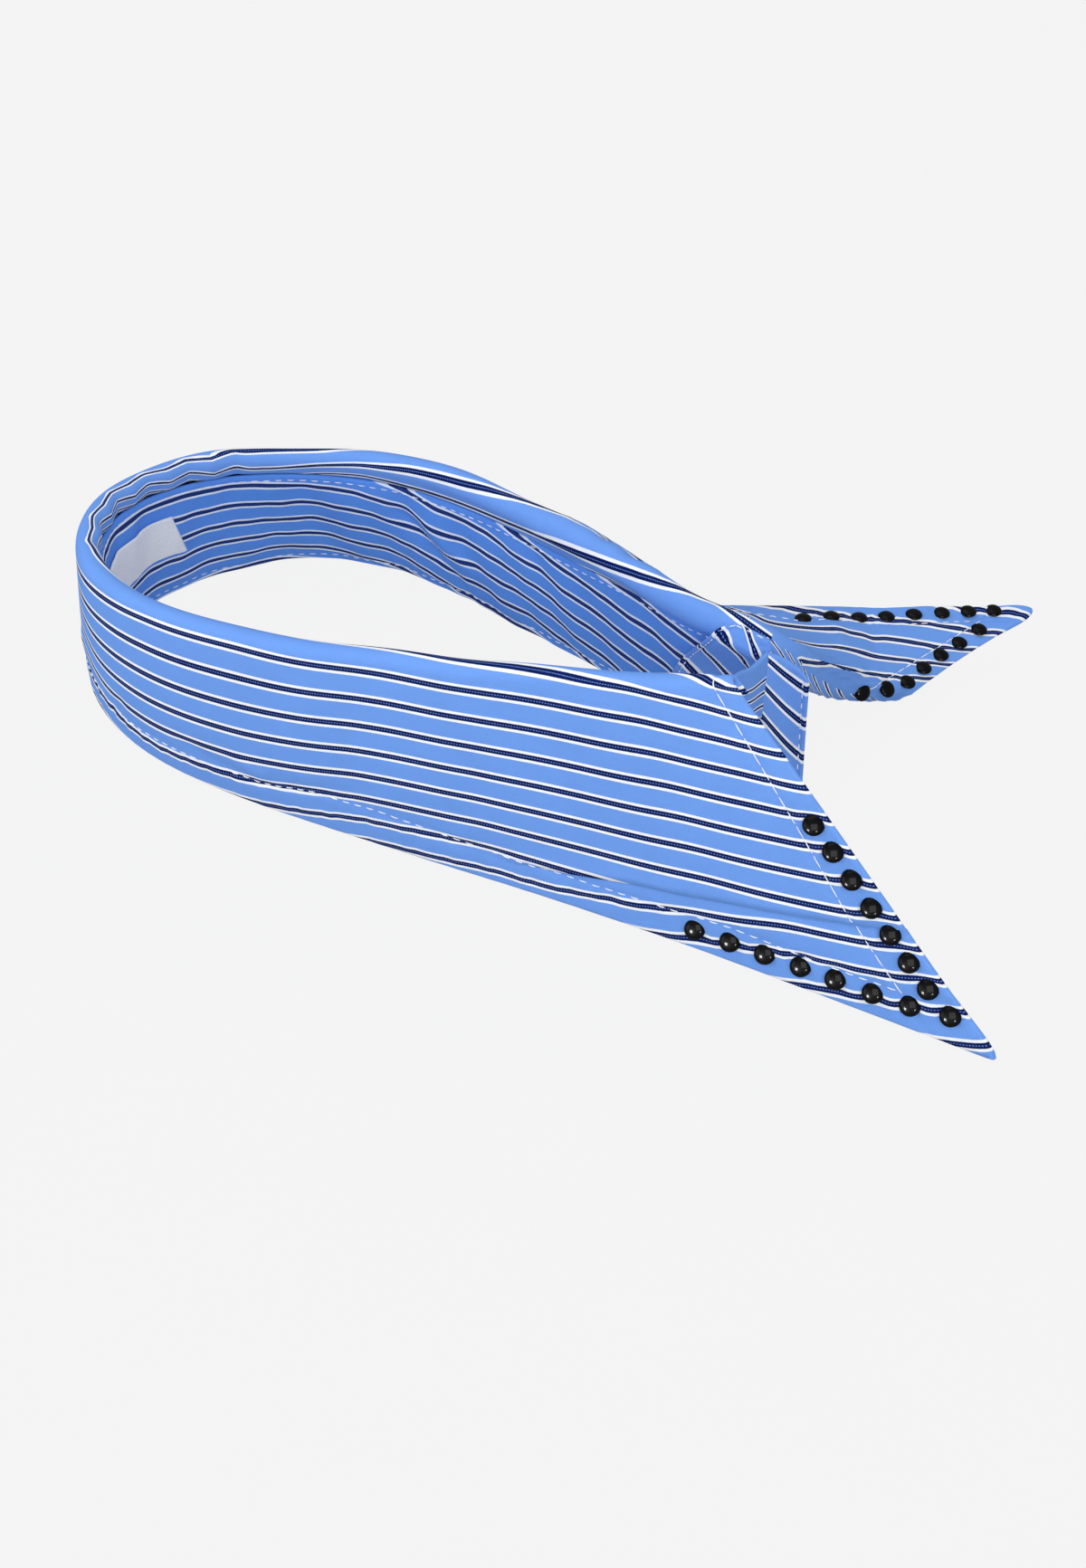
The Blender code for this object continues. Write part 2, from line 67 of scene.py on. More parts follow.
# Crest, hem, bow of the wall, radius of the roll and length of the lip, section by section.
LEAF_SECTIONS = np.array([
    (-57.4, -54.7, 60, -83.9, -112.8, 0, 0, 1, 3),
    (-56.9, -46.9, 58.6, -77.5, -92, 0, 0.3, 1.8, 4),
    (-56.2, -35.4, 56.6, -68.6, -63, 0, 0.6, 2.2, 4.4),
    (-54.9, -24.5, 54.9, -62.6, -42, 0, 0.9, 2.2, 4.4),
    (-53.1, -12.5, 53.1, -57.8, -23.1, 0, 1.2, 2.2, 4.4),
    (-51.3, 0.8, 50.9, -53.5, -4.6, 0, 1.5, 2.2, 4.4),
    (-48.7, 15.6, 49.2, -49.2, 14, 0, 1.8, 2.2, 4.4),
    (-46.4, 32.8, 47, -44.3, 34.9, 0, 2, 2.2, 4.4),
    (-42.8, 51.1, 45.7, -38.9, 55, 0, 2, 2.2, 4.2),
    (-37.2, 68.6, 44.5, -32.2, 72.6, 0, 1.8, 2.1, 4),
    (-29.2, 83, 43.9, -24.4, 86.4, 0, 1.3, 2, 3.6),
    (-20, 92.4, 43.6, -16.6, 95.6, 0, 0.9, 2, 3.2),
    (-10.8, 97.8, 43.4, -8.6, 102.2, 0, 0.6, 2, 3),
    (0.4, 101.2, 43, 1.2, 107.2, 0, 0.6, 2, 3),
    (13.2, 101.4, 42.3, 15.6, 110, 0, 0.8, 2, 3),
    (26, 96.8, 41.3, 33.8, 108.4, 0, 1.5, 2, 3),
    (38.3, 85.7, 40.2, 54.6, 97.2, 0, 2.5, 2, 3),
    (46.2, 68.7, 39.2, 68.8, 75, 0, 3, 2, 3.2),
    (48.2, 49.5, 39.5, 71.4, 46.8, 0, 3, 2.2, 4.2),
    (41.6, 30.5, 41, 65.6, 20.4, 0, 3, 2.4, 5.4),
    (31.2, 13.1, 42.2, 57, -1.2, 1.5, 3, 2.6, 6.4),
    (18.7, -4.2, 43, 49.4, -16.8, 5, 3, 2.8, 7),
    (4.1, -22.5, 43.5, 44.2, -28.6, 10, 0.6, 2.8, 6.4),
    (-9.8, -39.4, 44, 41.2, -38.5, 14.6, -2, 2.8, 4.2),
    (-15, -47.8, 44.3, 41.6, -46.5, 15.8, -3, 2.8, 3.4),
    (-16.4, -54, 42.6, 43.5, -54.5, 15.8, -4, 2.8, 3.6),
    (-13.2, -60, 36.4, 47, -66, 15.4, -4.5, 3, 6),
    (-6, -63.8, 29, 49.6, -74, 15, -4.5, 3.2, 9),
    (4, -67.2, 20.6, 53.3, -83.2, 14.2, -4, 3.3, 13),
    (16.6, -72.4, 11.2, 58.6, -95.6, 13, -2.8, 3.3, 17),
    (29, -80, 3.9, 65.2, -109.8, 11, -0.6, 3.3, 20),
])

# The stand's lower edge and its swell toward the neck, under the first 26 leaf sections.
STAND_SECTIONS = np.array([
    (-50.5, -53, 15, 0), (-50, -46.5, 14, 0.2), (-49, -36, 12, 0.4),
    (-47.6, -26, 10.5, 0.5), (-45.7, -14, 9, 0.5), (-43.4, -0.5, 7, 0.6),
    (-40.5, 14.5, 5.5, 0.8), (-36.8, 31.7, 4.5, 1), (-32.2, 49.2, 4, 1),
    (-27, 65.7, 4, 1), (-20.4, 80, 3.5, 1), (-14, 89.8, 3, 1),
    (-8.2, 96.2, 2.5, 1), (1.5, 102, 1.8, 1), (14.8, 105.6, 1, 1),
    (31.6, 105.4, 0, 1), (50, 94, 0, 1), (64, 73.7, 0, 1),
    (62.7, 48.5, 0, 1), (52.2, 26.6, 0, 1), (40.6, 7.3, 0, 0.8),
    (29.7, -11.2, 0, 0.6), (16.9, -29, 0, 0.4), (2.8, -45.5, 0, 0.2),
    (-5.7, -53.4, 1, 0), (-11.2, -58.8, 2, 0),
])

# The tie end's upper and lower edges, from the right stand to the knot's ridge.
TIE_BRIDGE = np.array([
    (-52.6, -42.7, 50, -51.3, -42.9, 36.3), (-49.9, -49.3, 49.7, -49.2, -49.7, 36.9),
    (-42.1, -51.6, 49.2, -44.6, -53.2, 37.6), (-35.5, -52.5, 47.4, -40.2, -54.3, 37.2),
    (-30.3, -53.9, 45.4, -36, -55.2, 35.6), (-25.5, -55.2, 44.7, -31.4, -55.8, 33.6),
    (-22.4, -56.1, 44.5, -28.6, -56.3, 32.2),
])
# And from the ridge down to the cut tip.
TIE_TIP = np.array([
    (-22.4, -56.1, 44.5, -28.6, -56.3, 32.2), (-21.9, -58.3, 43.7, -26, -59, 24.6),
    (-21.6, -61.6, 42, -23.6, -62, 16.5), (-21.6, -64, 40, -22.6, -64.4, 11),
    (-22, -65.1, 38.6, -22.4, -65.6, 9.6),
])

# A point on the tip's first stripe, and the axis that counts its stripes.
TIP_STRIPE = np.array((-19.36, -62.78, 34.51))
TIP_STRIPE_AXIS = np.array((-0.150, 0.069, -0.118))


def linear(hex_colour: str) -> tuple[float, float, float, float]:
    """Turn an sRGB hex colour into linear light.

    Args:
        hex_colour: Six hex digits, such as "74a0eb".

    Returns:
        Red, green, blue and an alpha of one.
    """
    parts = [int(hex_colour[i:i + 2], 16) / 255.0 for i in (0, 2, 4)]
    light = [c / 12.92 if c <= 0.04045 else ((c + 0.055) / 1.055) ** 2.4 for c in parts]
    return (*light, 1.0)


def unit(vectors: Array) -> Array:
    """Scale vectors to length one along the last axis."""
    return vectors / np.maximum(np.linalg.norm(vectors, axis=-1, keepdims=True), 1e-9)


def soft_step(x: Array) -> Array:
    """Rise from 0 to 1 as x goes from 0 to 1, as 3x squared less 2x cubed."""
    x = np.clip(x, 0.0, 1.0)
    return x * x * (3.0 - 2.0 * x)


def bell(x: Array, width: float) -> Array:
    """A bell of height one: e to the power of minus the square of x over its width."""
    return np.exp(-(x / width) ** 2)


def run_along(points: Array, axis: int) -> Array:
    """Distance run along one axis of a grid of points, starting from zero."""
    steps = np.diff(points, axis=axis, prepend=points.take([0], axis=axis))
    return np.cumsum(np.linalg.norm(steps, axis=-1), axis=axis)


def from_rim(down: Array, across: Array) -> Array:
    """Distance to the nearest of a grid's four edges, from the runs down and across it."""
    return np.minimum(np.minimum(down, down[-1:] - down),
                      np.minimum(across, across[:, -1:] - across))


def table_of(*lines: float | tuple[float, ...]) -> Any:
    """A table or a row of numbers as the default of a dataclass field."""
    return field(default_factory=lambda: np.array(lines, float))


def grid_normals(middle: Array, toward: Array) -> Array:
    """Unit normals of a grid, all turned to the side that toward points to on the whole."""
    normal = unit(np.cross(np.gradient(middle, axis=0), np.gradient(middle, axis=1)))
    return normal * np.sign(np.sum(normal * toward))


def spline(knots: Array, values: Array, at: Array) -> Array:
    """Read a natural cubic spline: second slopes solve the usual three-band system.

    Args:
        knots: Rising positions of the rows.
        values: One row of numbers for each knot.
        at: Positions to read, of any shape.

    Returns:
        The rows read, with the shape of at and one more axis.
    """
    at = np.asarray(at, float)
    count = len(knots)
    step = np.diff(knots)
    slope = np.diff(values, axis=0) / step[:, None]
    system = np.eye(count)
    inner = np.arange(1, count - 1)
    system[inner, inner - 1] = step[:-1]
    system[inner, inner] = 2.0 * (step[:-1] + step[1:])
    system[inner, inner + 1] = step[1:]
    right = np.zeros_like(values, dtype=float)
    right[1:-1] = 6.0 * np.diff(slope, axis=0)
    bend = np.linalg.solve(system, right)
    i = np.clip(np.searchsorted(knots, at, side="right") - 1, 0, count - 2)
    h = step[i][..., None]
    a = (knots[i + 1] - at)[..., None] / h
    b = 1.0 - a
    curve = (a ** 3 - a) * bend[i] + (b ** 3 - b) * bend[i + 1]
    return a * values[i] + b * values[i + 1] + curve * h * h / 6.0


def read_rows(table: Array, at: Array, blur: float = 4.0) -> list[Array]:
    """Read a table by straight lines between its rows, averaged over a short window.

    Args:
        table: Rows whose first column rises.
        at: Positions to read.
        blur: Half the width of the window.

    Returns:
        One array for each further column.
    """
    at = np.asarray(at, float)
    steps = np.linspace(-1.0, 1.0, 9)
    weights = 1.0 - np.abs(steps) * 0.9
    weights = weights / weights.sum()
    return [sum(w * np.interp(at + blur * k, table[:, 0], column) for w, k in zip(weights, steps))
            for column in table.T[1:]]


def creased(table: Array, along: Array, across: Array) -> Array:
    """Height of listed creases: each is a bell across its line, eased at both ends.

    Args:
        table: Rows of start along, start across, end along, end across, width, height.
        along: First surface coordinate, in millimetres.
        across: Second surface coordinate, in millimetres.

    Returns:
        The summed height at each point, in millimetres.
    """
    height = np.zeros(np.broadcast(along, across).shape)
    for a0, b0, a1, b1, width, rise in table:
        length = math.hypot(a1 - a0, b1 - b0)
        ua, ub = (a1 - a0) / length, (b1 - b0) / length
        run = ((along - a0) * ua + (across - b0) * ub) / length
        off = (along - a0) * ub - (across - b0) * ua
        ease = soft_step((run + 0.15) / 0.35) * soft_step((1.15 - run) / 0.35)
        height += rise * bell(off, width) * ease
    return height


def lines_passed(lines: list[Array], w: Array, caps: tuple[float, ...]) -> Array:
    """Count the lines passed on the way to w: a quarter close by each line, where its stripe
    keeps its width, and the rest over the ground between two of them.

    Args:
        lines: Where each line lies, in rising order.
        w: Positions to count to.
        caps: The most that a quarter may take up beside each line.

    Returns:
        The count, 0 at the first line and beyond 1 a line after the last.
    """
    count = np.maximum(w - lines[-1], 0.0) / (lines[-1] - lines[-2])
    for near, far, cap, next_cap in zip(lines[:-1], lines[1:], caps[:-1], caps[1:]):
        gap = far - near
        first, last = np.minimum(cap, 0.25 * gap), np.minimum(next_cap, 0.25 * gap)
        off = np.clip(w - near, 0.0, gap)
        count = count + (0.25 * np.minimum(off / first, 1.0)
                         + 0.5 * np.clip((off - first) / np.maximum(gap - first - last, 0.1),
                                         0.0, 1.0)
                         + 0.25 * np.clip((off - gap + last) / last, 0.0, 1.0))
    return count


class Side(Enum):
    """The two points of the collar, by the wearer's hands."""

    RIGHT = "right"
    LEFT = "left"


@dataclass(frozen=True)
class CollarForm:
    """The collar's mid-surfaces, from the section tables."""

    wall: float = 1.4
    seam_gap: float = 0.6
    tip_cut: float = 3.8  # how far a tip is drawn in
    tip_reach: float = 9.0  # how far from a tip the cloth is let out
    # Each tip: its section, the one beside it, cloth let out, and how much wider it becomes.
    tips: tuple[tuple[int, int, float, float], ...] = ((0, 1, 3.0, 0.25), (-1, -2, 1.6, 0.6))
    look_ahead: float = 0.8
    stations: Array = field(default_factory=lambda: run_along(LEAF_SECTIONS[:, :3], 0))

    @property
    def length(self) -> float:
        """Length of the leaf along its crest."""
        return float(self.stations[-1])

    @property
    def stand_end(self) -> float:
        """Where the stand stops, at the knot."""
        return float(self.stations[len(STAND_SECTIONS) - 1])

    def section(self, s: Array) -> dict[str, Array]:
        """Read the leaf's sections at s: hem, axes up and out, bow, roll, lip and height."""
        row = spline(self.stations, LEAF_SECTIONS, s)
        step = (spline(self.stations, LEAF_SECTIONS, np.asarray(s) + self.look_ahead)
                - spline(self.stations, LEAF_SECTIONS, np.asarray(s) - self.look_ahead))
        crest, hem = row[..., 0:3], row[..., 3:6]
        travel = 0.4 * step[..., 0:3] + 0.6 * step[..., 3:6]
        out = unit(np.cross(unit(crest - hem), travel))
        top = crest + row[..., 7:8] * out
        up = unit(top - hem)
        face = unit(out - up * np.sum(out * up, axis=-1, keepdims=True))
        height = np.linalg.norm(top - hem, axis=-1) - row[..., 7]
        return {"hem": hem, "up": up, "out": face, "outward": out, "bow": row[..., 6],
                "roll": row[..., 7], "lip": row[..., 8], "height": height}

    def leaf(self, s: Array, t: Array) -> Array:
        """The leaf: a bowed wall, then a half circle of the roll's radius, then the lip.

        Args:
            s: Distance along the crest.
            t: 0 at the hem, 1 below the roll, 2 past it, 3 at the seam.

        Returns:
            Points of the mid-surface.
        """
        q = self.section(s)
        rise = np.clip(t, 0.0, 1.0)
        turn = math.pi * np.clip(t - 1.0, 0.0, 1.0)
        lip = q["lip"] * np.clip(t - 2.0, 0.0, 1.0)
        along = rise * q["height"] + q["roll"] * np.sin(turn) - lip
        across = q["bow"] * 4.0 * rise * (1.0 - rise) - q["roll"] * (1.0 - np.cos(turn))
        points = q["hem"] + q["up"] * along[..., None] + q["out"] * across[..., None]
        for tip in self.tips:
            points = self.blunted(points, *tip)
        return points

    def blunted(self, points: Array, end: int, beside: int, out: float, spread: float) -> Array:
        """Round off one point of the leaf: its tip is drawn in, and the cloth near it let out.

        Args:
            points: Points of the leaf.
            end: The section at that point.
            beside: The section next to it.
            out: How far the cloth near the tip is let out.
            spread: How much wider the point becomes there, as a share.

        Returns:
            The points moved.
        """
        tip = LEAF_SECTIONS[end, 3:6]
        front = unit(LEAF_SECTIONS[end, 0:3] - tip)
        inward = unit(front + unit(LEAF_SECTIONS[beside, 3:6] - tip))
        away = points - tip
        reach = np.linalg.norm(away, axis=-1, keepdims=True)
        near = bell(reach, self.tip_reach)
        across = away - inward * np.sum(away * inward, axis=-1, keepdims=True)
        drawn = self.tip_cut * np.exp(-reach / self.tip_cut) - out * near
        return points + inward * drawn + spread * near * across

    def from_hem(self, s: Array, t: Array) -> Array:
        """Distance along the section from the hem: wall, then half circle, then lip."""
        q = self.section(s)
        wall, turn, lip = (np.clip(t - part, 0.0, 1.0) for part in (0.0, 1.0, 2.0))
        return q["height"] * wall + q["roll"] * math.pi * turn + q["lip"] * lip

    def below_top(self, s: Array, t: Array) -> Array:
        """Distance along the section down the outside from the roll's top, minus inside."""
        return self.from_hem(s, np.full(np.shape(s), 1.5)) - self.from_hem(s, t)

    def stand(self, s: Array, t: Array) -> Array:
        """The stand: a straight drop from the seam to its foot, swelling toward the neck.

        Args:
            s: Distance along the crest.
            t: 0 at the seam and 1 at the lower edge.

        Returns:
            Points of the mid-surface.
        """
        row = spline(self.stations[:len(STAND_SECTIONS)], STAND_SECTIONS, s)
        edge = self.leaf(s, np.full(np.shape(s), 3.0))
        lip = unit(edge - self.leaf(s, np.full(np.shape(s), 2.0)))
        foot = row[..., 0:3]
        fold = 1.0 - np.sum(lip * unit(foot - edge), axis=-1, keepdims=True) ** 2
        seam = edge + lip * (self.seam_gap + 0.5 * self.wall * np.sqrt(np.clip(fold, 0.0, 1.0)))
        drop = np.asarray(t, float)[..., None]
        inward = -self.section(s)["outward"]
        return seam + (foot - seam) * drop + inward * row[..., 3:4] * 4.0 * drop * (1.0 - drop)

    def stand_width(self, s: Array) -> Array:
        """Straight distance from the seam to the stand's lower edge."""
        drop = self.stand(s, np.ones(s.shape)) - self.stand(s, np.zeros(s.shape))
        return np.linalg.norm(drop, axis=-1)


FORM = CollarForm()


def normals_of(surface: Callable[[Array, Array], Array], s: Array, t: Array,
               toward: Array) -> Array:
    """Unit normals by small differences along both coordinates, turned toward a side.

    Args:
        surface: A function of s and t that gives points.
        s: First coordinate.
        t: Second coordinate.
        toward: Vectors that the normals should agree with.

    Returns:
        Unit normals.
    """
    t = np.asarray(t, float)
    ds = surface(s + STEP_S, t) - surface(s - STEP_S, t)
    dt = surface(s, t + STEP_T) - surface(s, t - STEP_T)
    normal = unit(np.cross(ds, dt))
    return normal * np.where(np.sum(normal * toward, axis=-1, keepdims=True) < 0.0, -1.0, 1.0)


def mesh_object(name: str, points: Array, faces: list[list[int]],
                cloth_uv: Array | None = None) -> bpy.types.Object:
    """Make one object from points in millimetres, with its place in its mesh.

    Args:
        name: The piece's name.
        points: Vertices, in the tables' frame.
        faces: Vertex numbers of each face, pointing out.
        cloth_uv: Cloth coordinates for every face corner, in millimetres.

    Returns:
        The linked object.
    """
    mesh = bpy.data.meshes.new(name)
    mesh.from_pydata(((points - CENTRE) * MM).tolist(), [], faces)
    if cloth_uv is not None:
        layer = mesh.uv_layers.new(name=CLOTH_MAP)
        layer.data.foreach_set("uv", np.ascontiguousarray(cloth_uv, np.float32).ravel())
    mesh.shade_smooth()
    mesh.update()
    return linked(name, mesh)


def linked(name: str, data: bpy.types.ID) -> bpy.types.Object:
    """Put new data into the scene as an object of that name."""
    thing = bpy.data.objects.new(name, data)
    bpy.context.scene.collection.objects.link(thing)
    return thing


def shell(name: str, middle: Array, outward: Array, half: Array,
          maps: list[Array], zone: Array | None = None) -> bpy.types.Object:
    """Close a grid into a wall: the middle plus and minus half its thickness, one rim shared.

    Args:
        name: The piece's name.
        middle: Points of the mid-surface, rows by columns.
        outward: Unit normals of its outer face.
        half: Half the thickness at each point, next to nothing at the rim.
        maps: Cloth coordinates of the whole grid, one array for each zone.
        zone: For each cell, which of the maps it takes; the first where it is left out.

    Returns:
        The linked object.
    """
    deep, wide = half.shape
    if zone is None:
        zone = np.zeros((deep - 1, wide - 1), int)
    front = np.arange(deep * wide).reshape(deep, wide)
    back = front.copy()
    back[1:-1, 1:-1] = deep * wide + np.arange((deep - 2) * (wide - 2)).reshape(deep - 2, wide - 2)
    outer = middle + outward * half[..., None]
    inner = (middle - outward * half[..., None])[1:-1, 1:-1]
    points = np.concatenate((outer.reshape(-1, 3), inner.reshape(-1, 3)))

    def cell_corners(grid: Array) -> Array:
        """The grid's values at the four corners of every cell, in turn."""
        return np.stack((grid[:-1, :-1], grid[1:, :-1], grid[1:, 1:], grid[:-1, 1:]), axis=2)

    run = np.cross(middle[1:, :-1] - middle[:-1, :-1], middle[:-1, 1:] - middle[:-1, :-1])
    forward = float(np.sum(run * outward[:-1, :-1])) > 0.0
    quads = [cell_corners(front), cell_corners(back)[:, :, ::-1]]
    cloth = np.stack([cell_corners(one) for one in maps])
    pick = np.take_along_axis(cloth, zone[None, :, :, None, None], axis=0)[0]
    uvs = [pick, pick[:, :, ::-1]]
    if not forward:
        quads = [q[:, :, ::-1] for q in quads]
        uvs = [u[:, :, ::-1] for u in uvs]
    faces = np.concatenate([q.reshape(-1, 4) for q in quads]).tolist()
    return mesh_object(name, points, faces, np.concatenate([u.reshape(-1, 2) for u in uvs]))


def rounded(half: float, radius: float, distance: Array) -> Array:
    """Half thickness that rounds off at a rim, as a quarter circle of the given radius."""
    away = np.clip(distance / radius, 0.0, 1.0)
    return half * np.sqrt(np.clip(1.0 - (1.0 - away) ** 2, 0.0, 1.0))


def stitches(path: Array, outward: Array, length: float, gap: float,
             radius: float, start: int) -> tuple[Array, Array]:
    """Lay a run of small arched stitches: six-sided rods of three rings with closed ends.

    Args:
        path: Points along the seam on the cloth's face.
        outward: Normals of the cloth there.
        length: Length of one stitch.
        gap: Space between two stitches.
        radius: Radius of the thread.
        start: Number of the first vertex.

    Returns:
        The vertices and the triangles.
    """
    reach = run_along(path, 0)
    count = max(int(reach[-1] / (length + gap)), 1)
    begin = np.arange(count) * (length + gap)

    def at(values: Array, where: Array) -> Array:
        """Values read at a distance along the path."""
        return np.stack([np.interp(where, reach, values[:, c]) for c in range(3)], axis=-1)

    where = begin[:, None] + np.array((0.0, 0.16, 0.5, 0.84, 1.0)) * length
    lift = np.array((-0.25, 0.35, 0.75, 0.35, -0.25)) * radius
    normal = unit(at(outward, where))
    centre = at(path, where) + normal * lift[None, :, None]
    ahead = unit(centre[:, -1] - centre[:, 0])[:, None, :]
    side = unit(np.cross(ahead, normal))
    k = np.arange(STITCH_SIDES)
    angle = k * math.pi / 3.0
    ring = (side[:, 1:4, None, :] * np.cos(angle)[None, None, :, None]
            + normal[:, 1:4, None, :] * np.sin(angle)[None, None, :, None])
    thick = radius * np.array((0.8, 1.0, 0.8))[None, :, None, None]
    rings = (centre[:, 1:4, None, :] + ring * thick).reshape(count, 3 * STITCH_SIDES, 3)
    points = np.concatenate((centre[:, :1], rings, centre[:, 4:]), axis=1)
    this, after = 1 + k, 1 + (k + 1) % STITCH_SIDES
    up, top = STITCH_SIDES, 2 * STITCH_SIDES
    triples = [(0 * k, this, after), (this, up + this, up + after),
               (up + this, top + this, top + after), (this, up + after, after),
               (up + this, top + after, up + after),
               (top + this, 0 * k + STITCH_POINTS - 1, top + after)]
    one = np.concatenate([np.stack(three, 1) for three in triples])
    shift = (np.arange(count) * STITCH_POINTS)[:, None, None] + start
    return points.reshape(-1, 3), (one[None] + shift).reshape(-1, 3)[:, ::-1]


def on_face(sheet: Sheet, where: tuple, length: float, gap: float) -> Seam:
    """A seam on a sheet's outer face, along the grid points picked out by where."""
    middle, outward, half = (part[where] for part in sheet)
    return middle + outward * half[:, None], outward, length, gap


def on_both_faces(sheet: Sheet, lift: float, length: float, gap: float) -> list[Seam]:
    """A seam on both faces of a sheet read along one line, lifted off its cloth."""
    middle, outward, half = sheet
    return [(middle + face * outward * (half[:, None] + lift), face * outward, length, gap)
            for face in (1.0, -1.0)]


@dataclass(frozen=True)
class StripeLayout:
    """How the woven stripes lie on the leaf and on the stand."""

    # Along the crest: stripes counted at the roll's top, spacing outside and inside it.
    leaf_rows: Array = table_of(
        (0, -1.381, 7.531, 6.6), (8, -0.850, 7.438, 6.6), (20, -0.353, 6.937, 6.6),
        (35, -0.101, 6.640, 6.6), (55, 0.112, 6.244, 6.6), (80, 0.322, 6.362, 6.6),
        (105, 0.541, 7.280, 6.6), (130, 0.578, 7.405, 6.6), (150, 0.356, 6.798, 6.6),
        (160, 0.26, 6.5, 3.4), (166, 0.22, 6.4, 2.4), (205, 0.22, 6.5, 2.4), (214, 0.14, 6.5, 2.8),
        (225, -0.05, 6.6, 3.6), (234, -0.10, 6.7, 4.1), (245, -0.15, 6.8, 3),
        (256, -0.40, 6.9, 3.4), (268, -0.70, 6.6, 5.5), (287, -0.88, 6.4, 6.6),
        (300, -1.12, 6.3, 8), (306, -1.30, 6.3, 8.6), (317, -1.53, 6.4, 9.3),
        (329.5, -1.66, 6.6, 7.8), (338.5, -1.80, 6.8, 7.2), (347, -1.99, 6.8, 6.8),
        (355, -2.21, 6.8, 6.8), (361, -2.46, 6.8, 6.8), (368, -0.60, 9.5, 6.6),
        (375, 0.60, 11.8, 6.6), (385, 1.40, 13.5, 6.6), (401, 1.90, 13.7, 6.6),
        (421, 2.00, 11, 6.6), (435, 1.87, 9, 6.6), (449.6, 1.40, 7.9, 6.6))
    # Along the tuck: its distance below the roll's top, and the share of a pitch it takes up.
    tuck_rows: Array = table_of(
        (0, 58, 1.05), (6, 55, 1.05), (13, 51.9, 1.05), (16, 50.6, 0.90), (19, 49.4, 0.72),
        (25.5, 48.1, 0.60), (31, 47, 0.36), (38, 46.9, 0.18), (46, 46.6, 0), (52, 46.3, 0),
        (62, 44, 0), (74, 41, 0), (84, 38.5, 0), (100, 39.5, 0), (450, 39.5, 0))
    # Along the stand: distance from the seam to its first stripe, and the spacing.
    stand_rows: Array = table_of(
        (0, 29.5, 7.4), (20, 26, 7.6), (32, 23, 7.4), (54, 16, 6.8), (78, 10.6, 6.9), (99, 7, 6.8),
        (117, 4.2, 6.8), (133, 3.2, 6.6), (166, 3, 6.6), (216, 2.8, 6.9), (223, 2.9, 6.6),
        (231, 3, 6.6), (239, 4, 6.7), (247, 4.1, 6.9), (255, 5, 6.8), (265, 7, 6.9),
        (275, 10.6, 7.2), (286, 10.8, 7), (298, 13, 6.5), (310, 16, 6.7), (322, 20, 7.5),
        (334, 23.6, 8), (345, 26, 8.4), (376, 33, 8.4))
    # By the knot, along the crest: where the stripe on the fold lies, outward from the top.
    fold_rows: Array = table_of(
        (329.5, -2.7), (338.5, -1.35), (347, -0.1), (355, 1.45), (363.5, 3.6), (371, 4.4),
        (376, 2.9), (380, 1.9), (383, 1.4), (400, 1.4))
    # Along the left point: how far below the roll's top stripes 3, 4, 5 and 6 lie.
    wing_rows: Array = table_of(
        (372, 31.5, 42.3, 53.2, 65), (376, 16, 37, 51.8, 65.3), (379, 2, 32, 47.6, 65.4),
        (381, -3.5, 30.5, 48.8, 65.4), (384, -3.5, 29.4, 50.1, 63.7),
        (387, -3.5, 29.2, 50.6, 62.5), (390, -3, 30.2, 50.3, 61.3), (393, 1.3, 31.4, 49, 60),
        (397.5, 2.4, 32.4, 46.4, 57.4), (402, 3.6, 31, 43.8, 54.9), (411, 7.6, 27.6, 39, 49.7),
        (420.5, 10.7, 23.6, 34.6, 44.6), (430, 11.4, 21.1, 30.6, 40.4),
        (437, 10.9, 19.9, 28.6, 38.3), (449.6, 12, 18.6, 26.6, 35.6))
    # Along the crest: stripes counted round the rolled edge in front of the knot.
    roll_rows: Array = table_of(
        (376, -1.5), (381, -0.8), (386.5, 0), (391, 1), (395.8, 2), (401.5, 3), (410, 4),
        (419.5, 5), (429, 6), (438, 7), (446, 8), (458, 9.5))
    pleat_sway: float = 0.13  # how far the pleats push the stripes, in stripes
    rim_sway: float = 0.09  # how far they shift over the right half's crest, in stripes
    pleat_start: float = 164.0
    pleat_pitch: float = 12.2
    wing_start: float = 370.0
    fold_spacing: float = 6.8
    roll_slant: float = 3.4

    def on_leaf(self, s: Array, w: Array) -> Array:
        """Stripe count on the leaf: the count at the top plus the distance over the spacing,
        swayed by the pleats and over the right half's crest; on the left point, on_wing's."""
        top, outside, inside = read_rows(self.leaf_rows, s)
        plain = top + np.maximum(w, 0.0) / outside + np.minimum(w, 0.0) / inside
        plain = plain - self.pleat_sway * self.pleat(s) * np.exp(-np.maximum(w, 0.0) / 1.5)
        plain = plain - self.rim_sway * soft_step((3.9 - w) / 2.2) * soft_step((150.0 - s) / 20.0)
        share = soft_step((s - self.wing_start) / 8.0)
        return plain * (1.0 - share) + self.on_wing(s, w) * share

    def pleat(self, s: Array) -> Array:
        """Zigzag of the lip at the tight back: 1 at each ridge and -1 between two of them."""
        zigzag = np.abs(((s - self.pleat_start) / self.pleat_pitch) % 1.0 - 0.5) * 4.0 - 1.0
        return zigzag * soft_step((s - 158.0) / 6.0) * soft_step((232.0 - s) / 10.0)

    def on_wing(self, s: Array, w: Array) -> Array:
        """Stripe count on the left point: each stripe keeps its width, and the ground between
        two of them takes up the slack."""
        lines = read_rows(self.wing_rows, s, 2.0)
        opened = soft_step((s - 397.0) / 12.0)
        before = 0.72 * (1.0 - np.exp(-np.maximum(lines[0] - w, 0.0) / (2.5 + 3.5 * opened)))
        return 3.0 - before + lines_passed(lines, w, (1.4 + 2.4 * opened, 4.2, 4.2, 4.2))

